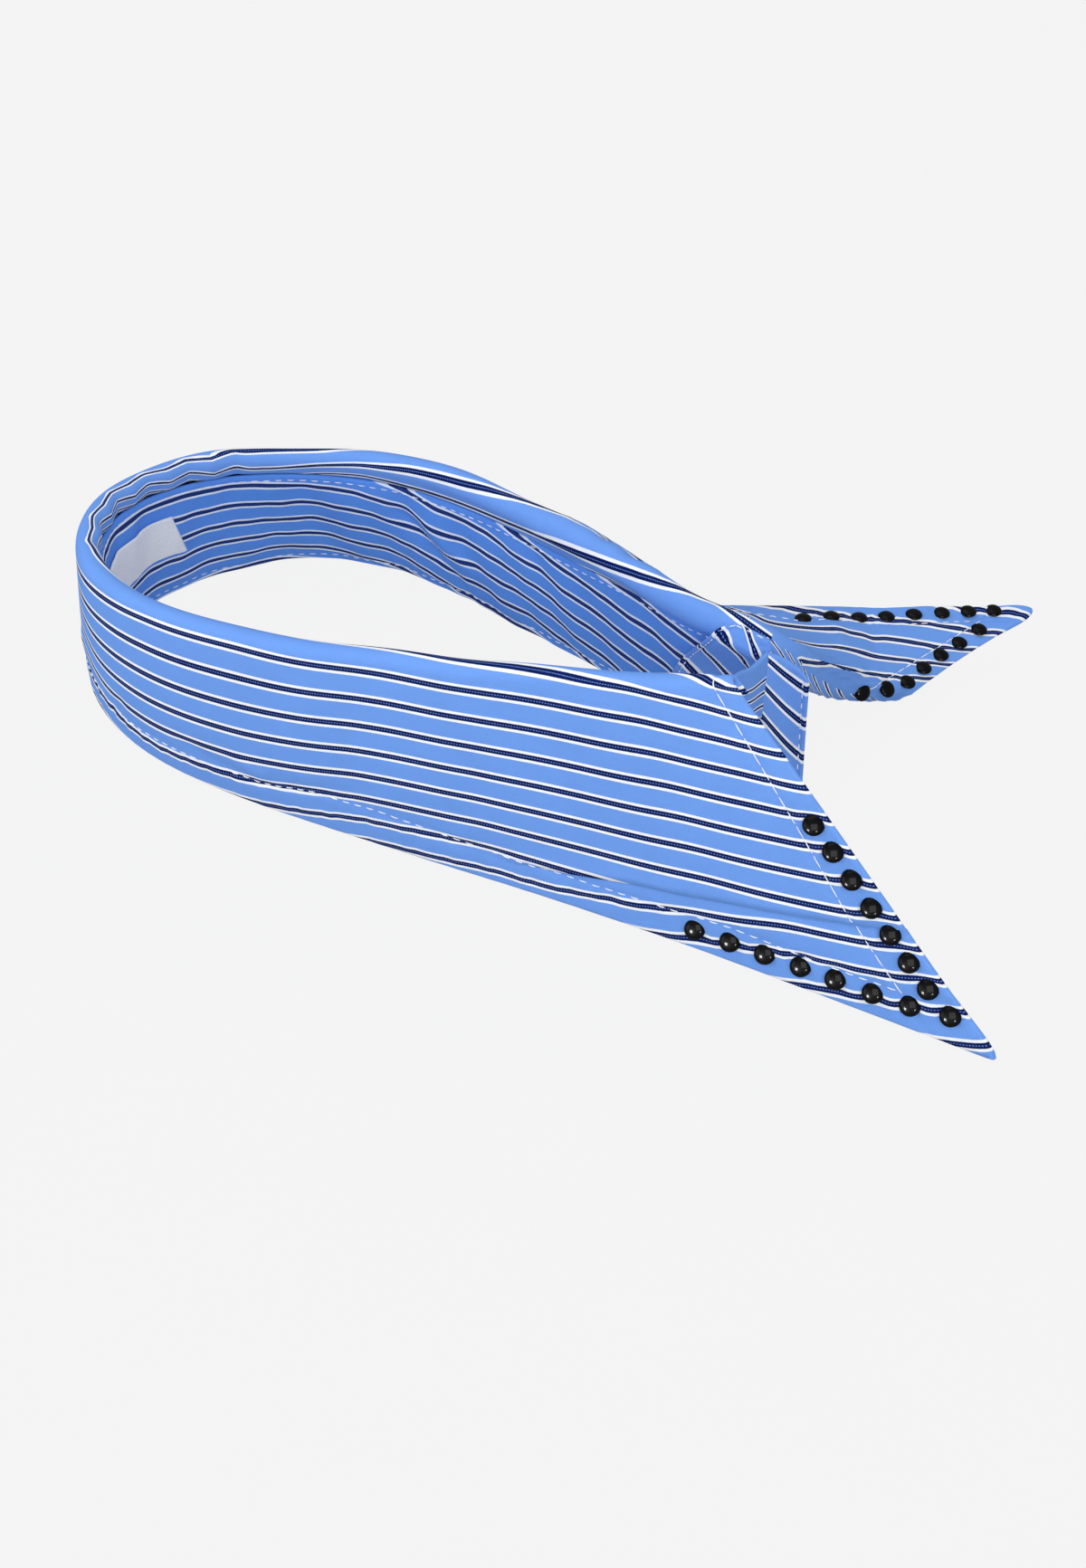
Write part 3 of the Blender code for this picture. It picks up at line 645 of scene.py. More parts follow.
    def fold(self, s: Array) -> Array:
        """Where the stripe that follows the fold lies, outward from the roll's top."""
        return read_rows(self.fold_rows, s, 2.5)[0]

    def on_fold(self, s: Array, w: Array) -> Array:
        """Stripe count inside the fold by the knot, where one stripe follows the fold."""
        count = (w - self.fold(s)) / self.fold_spacing
        return -2.0 + np.where(count < -0.5, -0.5 + 0.03 * (count + 0.5), count)

    def on_roll(self, s: Array, w: Array) -> Array:
        """Stripe count on the rolled edge, where the stripes wind round it on a slant."""
        return read_rows(self.roll_rows, s + self.roll_slant * (w - 1.0), 1.5)[0]

    def tuck(self, s: Array) -> list[Array]:
        """Distance of the tuck below the roll's top, and the share of a pitch it takes."""
        return read_rows(self.tuck_rows, s, 2.5)

    def on_stand(self, s: Array, below_seam: Array) -> Array:
        """Stripe count on the stand, from the distance below the seam."""
        first, spacing = read_rows(self.stand_rows, s, 5.0)
        return (below_seam - first) / spacing


STRIPES = StripeLayout()


class NodeTree:
    """A material's node tree, filled one node at a time."""

    def __init__(self, name: str) -> None:
        """Start a material of that name with an empty tree."""
        self.material = bpy.data.materials.new(name)
        self.material.use_nodes = True
        self.tree = self.material.node_tree
        self.tree.nodes.clear()

    def add(self, kind: str, *inputs: Any, out: int | str = 0,
            **named: Any) -> bpy.types.NodeSocket | None:
        """Add a node, set its properties, fill or link its inputs, and give one output.

        Args:
            kind: Blender's name for the node, after "ShaderNode".
            *inputs: The node's first inputs in order, each a value or an output.
            out: Place or name of the output to give, where the node has outputs.
            **named: Properties, and inputs by name or identifier with _ for a space.

        Returns:
            That output.
        """
        node = self.tree.nodes.new("ShaderNode" + kind)
        filled = list(zip(node.inputs, inputs))
        for key, value in named.items():
            if hasattr(node, key):
                setattr(node, key, value)
                continue
            filled.append((next(x for x in node.inputs
                                if key in (x.identifier, x.name.replace(" ", "_"))), value))
        for socket, value in filled:
            if isinstance(value, bpy.types.NodeSocket):
                self.tree.links.new(value, socket)
            else:
                socket.default_value = value
        return node.outputs[out] if len(node.outputs) else None

    def close(self, shader: bpy.types.NodeSocket) -> bpy.types.Material:
        """Link the shader to the output and give the material."""
        self.add("OutputMaterial", Surface=shader)
        return self.material


@dataclass(frozen=True)
class StripedPoplin:
    """Yarn-dyed cotton poplin: a tight plain weave, so it looks matt and smooth, with crisp
    woven stripes. A stripe is white, navy, a broken light thread, navy and white."""

    name: str
    ground: str
    navy: str
    white: str
    light_thread: float = 1.0  # how strongly the light thread shows
    light: str = "6c86c8"
    pitch: float = STRIPE_PITCH
    # The stripe's parts, outward from its middle, as shares of half a pitch.
    navy_to: float = 0.176
    white_from: float = 0.202
    white_to: float = 0.366
    ground_from: float = 0.400
    core: float = 0.015  # half the light thread's width, as a share of a pitch
    fray: float = 0.08  # how far an edge wanders, in millimetres
    dash: float = 0.62  # spacing of the light thread's dashes, drawn coarser so that they show
    thread: float = 0.42  # real threads are 0.2 mm apart; drawn coarser so that they show

    def build(self) -> bpy.types.Material:
        """Make the material from cloth coordinates in millimetres."""
        tree = NodeTree(self.name)
        add = tree.add
        cloth = add("UVMap", uv_map=CLOTH_MAP)
        place = add("TexCoord", out="Object")
        along, across = add("SeparateXYZ", cloth).node.outputs[:2]
        fray = add("TexNoise", Vector=cloth, Scale=2.2, Detail=2.0)
        wander = add("Math", fray, self.fray, -0.5 * self.fray, operation="MULTIPLY_ADD")
        edge = add("Math", across, wander, operation="ADD")
        phase = add("Math", edge, 1.0 / self.pitch, 0.5, operation="MULTIPLY_ADD")
        part = add("Math", add("Math", phase, operation="FRACT"), 0.5, operation="SUBTRACT")
        off = add("Math", part, operation="ABSOLUTE")
        beat = add("Math", add("Math", along, FULL_TURN / self.dash, operation="MULTIPLY"),
                   operation="SINE")
        dots = add("Math", add("Math", beat, -0.1, operation="GREATER_THAN"), self.light_thread,
                   operation="MULTIPLY")
        middle = add("Mix", dots, data_type="RGBA", out=2,
                     A_Color=linear(self.navy), B_Color=linear(self.light))
        bands = add("ValToRGB", add("Math", off, 2.0, operation="MULTIPLY"))
        stops = bands.node.color_ramp.elements
        stops.remove(stops[-1])
        stops[0].color = linear(self.navy)
        for spot, colour in ((self.navy_to, self.navy), (self.white_from, self.white),
                             (self.white_to, self.white), (self.ground_from, self.ground)):
            stops.new(spot).color = linear(colour)
        core = add("Math", off, self.core, operation="LESS_THAN")
        striped = add("Mix", core, data_type="RGBA", out=2, A_Color=bands, B_Color=middle)
        mottle = add("TexNoise", Vector=place, Scale=90.0, Detail=3.0)
        fine = add("TexNoise", Vector=cloth, Scale=1.7, Detail=4.0, Roughness=0.7)
        dye = add("Math", fine, 0.12, 0.89, operation="MULTIPLY_ADD")
        tone = add("Math", mottle, 0.10, dye, operation="MULTIPLY_ADD")
        toned = add("HueSaturation", Color=striped, Value=tone)
        warp, weft = [add("Math", add("Math", axis, FULL_TURN / self.thread, operation="MULTIPLY"),
                          operation="SINE") for axis in (along, across)]
        weave = add("Math", warp, weft, fine, operation="MULTIPLY_ADD")
        bump = add("Bump", Height=weave, Strength=0.22, Distance=0.00012)
        return tree.close(add("BsdfPrincipled", Base_Color=toned, Roughness=0.82, Normal=bump,
                              Specular_IOR_Level=0.04))


@dataclass(frozen=True)
class WovenTape:
    """Polyester satin label tape, woven off-white: faint ribs across it and a soft lustre."""

    name: str = "white_woven_tape"
    colour: str = "f6f9ff"
    rib: float = 0.6

    def build(self) -> bpy.types.Material:
        """Make the material from cloth coordinates in millimetres."""
        tree = NodeTree(self.name)
        add = tree.add
        cloth = add("UVMap", uv_map=CLOTH_MAP)
        warp, weft = [add("Math", add("Math", axis, FULL_TURN / self.rib, operation="MULTIPLY"),
                          operation="SINE") for axis in add("SeparateXYZ", cloth).node.outputs[:2]]
        rough = add("TexNoise", Vector=cloth, Scale=1.3, Detail=4.0)
        height = add("Math", warp, weft, rough, operation="MULTIPLY_ADD")
        tone = add("Math", rough, 0.2, 0.88, operation="MULTIPLY_ADD")
        shade = add("HueSaturation", Color=linear(self.colour), Value=tone)
        bump = add("Bump", Height=height, Strength=0.3, Distance=0.00015)
        return tree.close(add("BsdfPrincipled", Base_Color=shade, Roughness=0.6, Normal=bump,
                              Sheen_Weight=0.15))


@dataclass(frozen=True)
class BlackEnamel:
    """Baked black enamel on a pressed brass stud: glossy, with a slight waviness."""

    name: str = "black_enamel"
    colour: str = "050507"
    waves: float = 900.0  # a metre, so about 1.1 mm apart
    dust: float = 3500.0  # a metre, so about 0.3 mm apart, drawn coarser so that it shows

    def build(self) -> bpy.types.Material:
        """Make the material from object coordinates."""
        tree = NodeTree(self.name)
        add = tree.add
        place = add("TexCoord", out="Object")
        ripple = add("TexNoise", Vector=place, Scale=self.waves, Detail=2.0)
        dust = add("TexNoise", Vector=place, Scale=self.dust, Detail=3.0)
        bump = add("Bump", Height=ripple, Strength=0.12, Distance=0.0001)
        rough = add("Math", dust, 0.10, 0.35, operation="MULTIPLY_ADD")
        return tree.close(add("BsdfPrincipled", Base_Color=linear(self.colour), Roughness=rough,
                              Normal=bump, Specular_IOR_Level=0.04, Coat_Weight=0.15,
                              Coat_Roughness=0.05))


@dataclass(frozen=True)
class SewingThread:
    """Spun polyester thread: twisted, so it shows slanting plies and stays matt."""

    name: str
    colour: str
    plies: float = 2500.0  # a metre, so 0.4 mm apart, the length of a twist

    def build(self) -> bpy.types.Material:
        """Make the material from object coordinates."""
        tree = NodeTree(self.name)
        add = tree.add
        plies = add("TexNoise", Vector=add("TexCoord", out="Object"), Scale=self.plies, Detail=2.0)
        tone = add("Math", plies, 0.2, 0.88, operation="MULTIPLY_ADD")
        shade = add("HueSaturation", Color=linear(self.colour), Value=tone)
        bump = add("Bump", Height=plies, Strength=0.4, Distance=0.0001)
        return tree.close(add("BsdfPrincipled", Base_Color=shade, Roughness=0.7, Normal=bump,
                              Sheen_Weight=0.2))


@dataclass(frozen=True)
class PaleFloor:
    """Matt backdrop paper, rolled smooth: plain, and glowing faintly so that shadows stay thin."""

    name: str = "pale_studio_floor"
    colour: str = "f4f4f4"
    under: str = "303030"

    def build(self) -> bpy.types.Material:
        """Make the material from object coordinates."""
        tree = NodeTree(self.name)
        add = tree.add
        grain = add("TexNoise", Vector=add("TexCoord", out="Object"), Scale=40.0)
        glow = add("Math", grain, 0.004, 0.998, operation="MULTIPLY_ADD")
        tone = add("HueSaturation", Color=linear(self.colour), Value=glow)
        return tree.close(add("BsdfPrincipled", Base_Color=linear(self.under), Roughness=1.0,
                              Emission_Color=tone, Emission_Strength=0.97,
                              Specular_IOR_Level=0.0))


@dataclass(frozen=True)
class Finishes:
    """Every finish of the collar, made once."""

    poplin: bpy.types.Material
    # the same poplin as a copy with painted shade, for the stand inside the loop
    poplin_painted_shade: bpy.types.Material
    tape: bpy.types.Material
    enamel: bpy.types.Material
    thread: bpy.types.Material

    @classmethod
    def made(cls) -> "Finishes":
        """Build all of the finishes."""
        return cls(StripedPoplin("striped_poplin", "70a0ee", "031d5c", "f6faff").build(),
                   # The stand's copy has painted shade: a darker, bluer ground, dimmer whites, a
                   # paler navy and a faint light thread stand in for the shade inside the loop.
                   StripedPoplin("striped_poplin_inside", "6098f0", "1c3578", "e6efff",
                                 0.2).build(),
                   WovenTape().build(), BlackEnamel().build(),
                   SewingThread("white_sewing_thread", "f6f8ff").build())


def dress(piece: bpy.types.Object, material: bpy.types.Material, slot: str, *nodes: str) -> None:
    """Give a piece its finish and its body, and hide the CAD nodes that it stands for; the slot is
    not used.
    """
    piece.data.materials.append(material)
    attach(piece, BODY)
    if nodes:
        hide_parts(*nodes)


@dataclass(frozen=True)
class StudPlan:
    """Places and shape of one point's studs, in millimetres from the point's tip."""

    corner: float  # to the stud at the corner, along the front edge
    corner_inset: float  # an inset is the distance in from a straight edge
    front: float  # spacing up the front edge
    front_inset: float
    curl: float  # how fast the inset grows past the start of the curl
    first: float  # to the first stud along the hem
    hem: float  # spacing along the hem
    hem_inset: float
    hem_slant: float  # how much the inset grows from each stud to the next
    diameter: float
    height: float
    turn: float  # the most that a stud turns toward level, in radians
    level: tuple[float, float, float]  # the way that the studs turn
    tip_s: float  # where the tip lies along the crest
    hem_s: float  # a place along the crest, over the straight part of the hem
    span: tuple[float, float]  # the part of the crest over the studs


STUD_PLANS = {
    Side.RIGHT: StudPlan(
        corner=11.5, corner_inset=2.2, front=6.35, front_inset=2.8, curl=0.0, first=17.8, hem=7.6,
        hem_inset=5.5, hem_slant=0.0, diameter=4.2, height=1.05, turn=0.62,
        level=(-0.52, -0.24, 0.82), tip_s=0.0, hem_s=20.0, span=(0.0, 34.0)),
    Side.LEFT: StudPlan(
        corner=8.7, corner_inset=5.1, front=7.2, front_inset=3.3, curl=0.42, first=16.8, hem=7.0,
        hem_inset=1.6, hem_slant=0.86, diameter=3.9, height=0.9, turn=0.8,
        level=(-0.16, 0.00, 0.99), tip_s=FORM.length, hem_s=FORM.length - 45.0,
        span=(FORM.length - 80.0, FORM.length)),
}


@dataclass
class StudRow:
    """The studs of one point: up its front edge, round its corner and back along its hem."""

    side: Side
    per_edge: int = 7
    curl_start: float = 44.0  # from the tip, where the left front edge curls over
    sink: float = 0.12  # how deep a stud sits in the cloth
    flange: float = 0.24  # height of the rim under the dome
    turns: int = 24
    eager: float = 0.75  # how much of the way to level a stud turns, up to its plan's turn

    @property
    def plan(self) -> StudPlan:
        """Places and shape of this point's studs."""
        return STUD_PLANS[self.side]

    def spots(self) -> tuple[Array, Array]:
        """Find each stud: the grid point nearest to its place along and in from a straight edge.

        Returns:
            The surface coordinates of the studs, and their points.
        """
        p = self.plan
        s, t = np.meshgrid(np.linspace(*p.span, 300), np.linspace(0.0, 1.4, 350), indexing="ij")
        points = FORM.leaf(s, t)
        tip, front, hem = FORM.leaf(np.array((p.tip_s, p.tip_s, p.hem_s)),
                                    np.array((0.0, 1.0, 0.0)))
        front, hem = unit(front - tip), unit(hem - tip)
        wanted = []
        for k in range(self.per_edge, 0, -1):
            reach = p.corner + k * p.front
            inset = p.front_inset + p.curl * max(reach - self.curl_start, 0.0)
            wanted.append((front, reach, inset))
        wanted.append((front, p.corner, p.corner_inset))
        wanted += [(hem, p.first + k * p.hem, p.hem_inset + k * p.hem_slant)
                   for k in range(self.per_edge)]
        found = []
        for edge, along, inset in wanted:
            reach = np.sum((points - tip) * edge, axis=-1)
            away = np.linalg.norm(points - tip - reach[..., None] * edge, axis=-1)
            found.append(np.argmin((reach - along) ** 2 + (away - inset) ** 2))
        return np.stack((s.ravel()[found], t.ravel()[found]), axis=1), points.reshape(-1, 3)[found]

    def settled(self, outward: Array) -> tuple[Array, Array]:
        """Turn the studs from the cloth's normal toward the way their prongs have settled.

        Args:
            outward: The cloth's normal at each stud.

        Returns:
            The axes, and the sine of the angle each has turned.
        """
        level = unit(np.array(self.plan.level))
        cosine = outward @ level
        angle = np.minimum(self.eager * np.arccos(cosine), self.plan.turn)
        beside = unit(level - cosine[:, None] * outward)
        return outward * np.cos(angle)[:, None] + beside * np.sin(angle)[:, None], np.sin(angle)

    def build(self, leaf: "Leaf", finishes: Finishes) -> None:
        """Turn each stud's profile, a shallow flange and a quarter-round dome, about its axis."""
        places, _ = self.spots()
        middle, outward, half = leaf.surface(places[:, 0], places[:, 1])
        r, height = self.plan.diameter / 2.0, self.plan.height
        axis, raised = self.settled(outward)
        base = middle + outward * (half + 0.5 * r * raised - self.sink)[:, None]
        rise = np.linspace(0.0, 0.5 * math.pi, 8)[:-1]
        radius = np.concatenate(((0.86, 1.0, 1.02), 0.965 * np.cos(rise))) * r
        dome = self.flange + (height - self.flange) * np.sin(rise)
        level = np.concatenate(((0.0, 0.06, 0.20), dome))
        k = np.arange(self.turns)
        angle = k * 2.0 * math.pi / self.turns
        side = unit(np.cross(axis, (0.0, 0.0, 1.0)))
        other = np.cross(axis, side)
        spoke = (side[:, None] * np.cos(angle)[None, :, None]
                 + other[:, None] * np.sin(angle)[None, :, None])
        rings = (base[:, None, None] + spoke[:, None] * radius[None, :, None, None]
                 + axis[:, None, None] * level[None, :, None, None])
        count, levels = rings.shape[:2]
        points = np.concatenate((base[:, None], rings.reshape(count, -1, 3),
                                 (base + axis * height)[:, None]), axis=1)
        f = (k + 1) % self.turns
        last = 1 + levels * self.turns
        low = 1 + np.arange(levels - 1)[:, None] * self.turns
        high, top = low + self.turns, last - self.turns
        walls = np.stack((low + k, low + f, high + f, high + k), axis=-1).reshape(-1, 4)
        caps = np.concatenate((np.stack((0 * k, 1 + f, 1 + k), 1),
                               np.stack((top + k, top + f, last + 0 * k), 1)))
        shift = np.arange(count)[:, None, None] * (last + 1)
        faces = ((walls[None] + shift).reshape(-1, 4).tolist()
                 + (caps[None] + shift).reshape(-1, 3).tolist())
        piece = mesh_object(f"studs_{self.side.value}", points.reshape(-1, 3), faces)
        names = [f"stud_{self.side.value}_{number:02d}" for number in range(1, count + 1)]
        dress(piece, finishes.enamel, "black_enamel", *names)
        LOG.info("studs on the %s point: %d", self.side.value, count)


@dataclass
class Leaf:
    """The outer leaf with its roll and lip, from one front edge to the other."""

    half: float = 0.62
    rim: float = 0.9
    lowest: float = 0.35  # of the middle, so that the wall clears the floor
    # Heights of the relief, from the long waves to the dimple round a stud.
    wave: float = 0.24
    ripple: float = 0.14
    pucker: float = 0.10
    tuck_rise: float = 0.42
    tuck_drop: float = 0.25
    pleat_depth: float = 0.55
    rope: float = 0.22
    rope_groove: float = 0.40
    stitch_groove: float = 0.26
    dimple: float = 0.34
    stud_pull: float = 0.13  # how far a stud pulls the stripes, in stripes
    tip_turn: float = 0.22  # how far the stripes turn down near the right tip, in stripes
    edge_rows: int = 30  # rows of the grid near each front edge
    stud_points: Array = field(init=False)
    # Rows of start along, start from hem, end along, end from hem, width, height.
    hem_creases: Array = table_of(
        (122, 12, 102, 8.5, 1.6, -0.55), (102, 8.5, 84, 13, 1.8, -0.5), (108, 14, 96, 9, 1.5, 0.3),
        (70, 9, 52, 7.5, 1.3, -0.35), (40, 3, 34, 7, 1.4, -0.3), (150, 6, 141, 14, 2, -0.35),
        (178, 5, 170, 16, 2.4, 0.4), (205, 6, 196, 18, 2.6, -0.5), (236, 7, 226, 20, 3, 0.5),
        (268, 6, 254, 24, 2.6, -0.5), (300, 8, 290, 26, 2.8, 0.5), (330, 8, 316, 30, 2.6, -0.6),
        (352, 10, 340, 34, 2.4, 0.7), (366, 14, 356, 40, 2.2, -0.8), (388, 6, 400, 26, 2.6, 0.5),
        (402, 8, 418, 26, 2.4, -0.5))
    # The same, with distances below the roll's top: buckles in the lip and fans by the knot.
    rim_creases: Array = table_of(
        (405, 2, 424, 13, 0.9, -0.55), (410, 2, 431, 11, 0.8, -0.5), (416, 2, 437, 9, 0.8, -0.5),
        (399, 3, 414, 15, 1, -0.5), (392, 4, 405, 19, 1.2, 0.5), (330, 3, 350, 16, 1.8, -0.6),
        (338, 2, 360, 12, 1.6, -0.7), (318, 4, 336, 20, 2, 0.5))
    # Along the crest: how far the hem's topstitch lies from the hem.
    hem_stitch: Array = table_of(
        (0, 10.8), (4.5, 10.6), (11, 9.6), (19.5, 9.8), (26, 8.8), (37, 8.2), (51, 8.5), (63, 9.4),
        (76, 10.9), (89, 10.6), (101, 8.2), (118, 8.4), (142, 8), (180, 8.6), (240, 9.2),
        (300, 8.4), (360, 9), (384, 10.5), (396, 8.4), (420, 9.4), (436, 7.4), (449.6, 6.6))
    # Up each front edge: the section's coordinate, and where the topstitch lies along the crest.
    front_stitch: dict[Side, Array] = field(default_factory=lambda: {
        Side.RIGHT: np.array([(0.125, 5.0), (0.38, 5.45), (0.77, 4.55), (1.0, 4.1),
                              (1.45, 3.5), (2.0, 3.4)]),
        Side.LEFT: np.array([(0.15, 439.3), (0.23, 439.3), (0.46, 438.4), (0.73, 436.8),
                             (1.0, 434.4), (1.5, 434.0)])})

    def __post_init__(self) -> None:
        """Keep the studs' points for their dimples."""
        self.stud_points = np.concatenate([StudRow(side).spots()[1] for side in Side])

    def stitch_line(self, side: Side, t: Array) -> Array:
        """Where the front topstitch lies along the crest, for each t."""
        return np.interp(t, *self.front_stitch[side].T)

    def relief(self, s: Array, t: Array) -> tuple[Array, Array]:
        """Folds of the middle and thinning of the wall.

        The folds are long low waves, puckers between the stitches and the hem, listed creases,
        a step down over the tuck, and pleats of the lip at the tight back.

        Args:
            s: Distance along the crest.
            t: The section's coordinate.

        Returns:
            How far the middle moves outward, and how much the half thickness loses.
        """
        hem, w = FORM.from_hem(s, t), FORM.below_top(s, t)
        body = 1.0 - soft_step((3.0 - w) / 5.0)
        calm = 0.22 + 0.78 * soft_step((s - 140.0) / 40.0)
        move = body * calm * (self.wave * np.sin(s / 9.3 + hem / 14.0)
                              + self.ripple * np.sin(s / 5.1 - hem / 9.0 + 1.0))
        pucker = np.sin(s * 1.18 + 1.4 * np.sin(s / 13.0)) + 0.6 * np.sin(s * 2.05 + 0.8)
        move = move + self.pucker * pucker * bell(hem - 5.0, 3.4)
        move = move + creased(self.hem_creases, s, hem) + creased(self.rim_creases, s, w)
        line, _ = STRIPES.tuck(s)
        fold = soft_step((56.0 - s) / 16.0) * soft_step((s + 4.0) / 10.0)
        move = move + fold * np.where(w < line, self.tuck_rise * bell(line - w, 2.6),
                                      -self.tuck_drop * bell(w - line, 2.0))
        move = move - self.pleat_depth * STRIPES.pleat(s) * soft_step((-w - 0.2) / 2.0)
        rope = soft_step((s - 372.0) / 10.0) * soft_step((1.5 - w) / 3.0)
        move = move + self.rope * rope * np.sin(FULL_TURN * STRIPES.on_roll(s, w))
        move = move - self.rope_groove * soft_step((s - 380.0) / 8.0) * bell(w - 2.9, 0.8)
        thin = self.stitch_groove * bell(hem - np.interp(s, *self.hem_stitch.T), 0.8)
        for side in Side:
            scale = np.where(t < 1.0, 2.4 - 1.4 * np.clip(t, 0.0, 1.0), 1.0)
            off = (s - self.stitch_line(side, t)) * scale
            thin = np.maximum(thin, self.stitch_groove * bell(off, 0.75))
        return move, thin

    def surface(self, s: Array, t: Array) -> Sheet:
        """The dressed leaf: the form moved along its normal by the relief and the studs' dimples.

        Args:
            s: Distance along the crest.
            t: The section's coordinate.

        Returns:
            Middle points, outward normals and half thickness.
        """
        s, t = np.broadcast_arrays(np.asarray(s, float), np.asarray(t, float))
        plain = FORM.leaf(s, t)
        q = FORM.section(s)
        turn = math.pi * np.clip(t - 1.0, 0.0, 1.0)[..., None]
        outward = normals_of(FORM.leaf, s, t, q["out"] * np.cos(turn) + q["up"] * np.sin(turn))
        move, thin = self.relief(s, t)
        for spot in self.stud_points:
            away = np.sum((plain - spot) ** 2, axis=-1)
            move = move - self.dimple * np.exp(-away / 9.0)
        middle = plain + outward * move[..., None]
        middle[..., 2] = np.maximum(middle[..., 2], self.lowest)
        return middle, outward, self.half - thin

    def grid(self) -> tuple[Array, Array, int]:
        """Coordinates of the leaf's grid: close rows at the rims, one pair along the tuck.

        Returns:
            s and t of every point, and the column of the tuck's upper row.
        """
        close = np.array((0.0, 0.08, 0.22, 0.45, 0.75))
        ends = np.concatenate((close, np.arange(1.1, 12.0, 0.36)))
        s = np.concatenate((ends, np.linspace(12.0, FORM.length - 12.0, 404),
                            FORM.length - ends[::-1]))
        q = FORM.section(s)
        top = FORM.below_top(s, np.zeros_like(s))
        line, _ = STRIPES.tuck(s)
        tuck = np.clip((top - line) / q["height"], 7.0 / q["height"], 0.6)
        rim = np.array((0.0, 0.15, 0.45, 0.95))
        low = rim[None, :] / q["height"][:, None]
        body = low[:, -1:] + (tuck[:, None] - low[:, -1:]) * np.linspace(0.0, 1.0, 20)[None, 1:]
        pair = tuck[:, None] + 0.22 / q["height"][:, None]
        upper = pair + (1.0 - pair) * np.linspace(0.0, 1.0, 29)[None, 1:]
        roll = np.broadcast_to(np.linspace(1.0, 2.0, 13)[1:], (len(s), 12))
        last = 3.0 - rim[::-1][None, :] / q["lip"][:, None]
        lip = 2.0 + (last[:, :1] - 2.0) * np.linspace(0.0, 1.0, 6)[None, 1:-1]
        t = np.concatenate((low, body, pair, upper, roll, lip, last), axis=1)
        return np.broadcast_to(s[:, None], t.shape).copy(), t, low.shape[1] + body.shape[1]

    def build(self, finishes: Finishes) -> None:
        s, t, pair = self.grid()
        middle, outward, half = self.surface(s, t)
        hem, w = FORM.from_hem(s, t), FORM.below_top(s, t)
        total = FORM.from_hem(s[:, :1], np.full((len(s), 1), 3.0))
        rim = np.minimum(hem, total - hem)
        for near, edge in ((np.s_[:self.edge_rows], 0), (np.s_[-self.edge_rows:], -1)):
            away = middle[near][:, :, None] - middle[edge][None, None]
            rim[near] = np.minimum(rim[near], np.min(np.linalg.norm(away, axis=-1), axis=-1))
        half = np.minimum(half, rounded(self.half, self.rim, rim))
        half[0], half[-1], half[:, 0], half[:, -1] = 0.0, 0.0, 0.0, 0.0
        run = run_along(middle, 0)
        along = run - run[len(run) // 2]
        tip = np.sum((middle - FORM.leaf(np.array(0.0), np.array(0.0))) ** 2, axis=-1)
        count = STRIPES.on_leaf(s, w) + self.stud_sway(middle)
        count = count + self.tip_turn * np.exp(-tip / 110.0)
        _, share = STRIPES.tuck(s)
        maps = [np.stack((along, n * STRIPE_PITCH), axis=-1)
                for n in (count, count + share, STRIPES.on_roll(s, w), STRIPES.on_fold(s, w))]
        zone = np.zeros(s.shape, int)
        zone[:, :pair] = 1
        zone[(s > 346.0) & (s < 384.5) & (w < STRIPES.fold(s) + 1.9)] = 3
        zone[(s > 383.5) & (w < 1.6)] = 2
        piece = shell("collar_leaf_cloth", middle, outward, half, maps, zone[:-1, :-1])
        dress(piece, finishes.poplin, "striped_poplin", "collar_leaf")
        LOG.info("leaf: %d points", middle.shape[0] * middle.shape[1])

    def stud_sway(self, points: Array) -> Array:
        """Sideways pull of the stripes round each stud, as a bell in stripe counts."""
        return sum(self.stud_pull * np.exp(-np.sum((points - spot) ** 2, axis=-1) / 7.0)
                   for spot in self.stud_points)

    def seams(self) -> list[Seam]:
        """Topstitches of the leaf on both faces: along the hem, then up each front edge."""
        s = np.linspace(5.4, FORM.length - 10.5, 900)
        found = [(s, np.interp(s, *self.hem_stitch.T) / FORM.section(s)["height"], 1.9, 1.0)]
        for side, low in ((Side.RIGHT, 0.125), (Side.LEFT, 0.15)):
            t = np.linspace(low, 1.42, 200)
            found.append((self.stitch_line(side, t), t, 3.2, 0.05))
        lines = []
        for s, t, length, gap in found:
            lines += on_both_faces(self.surface(s, t), 0.10, length, gap)
        return lines


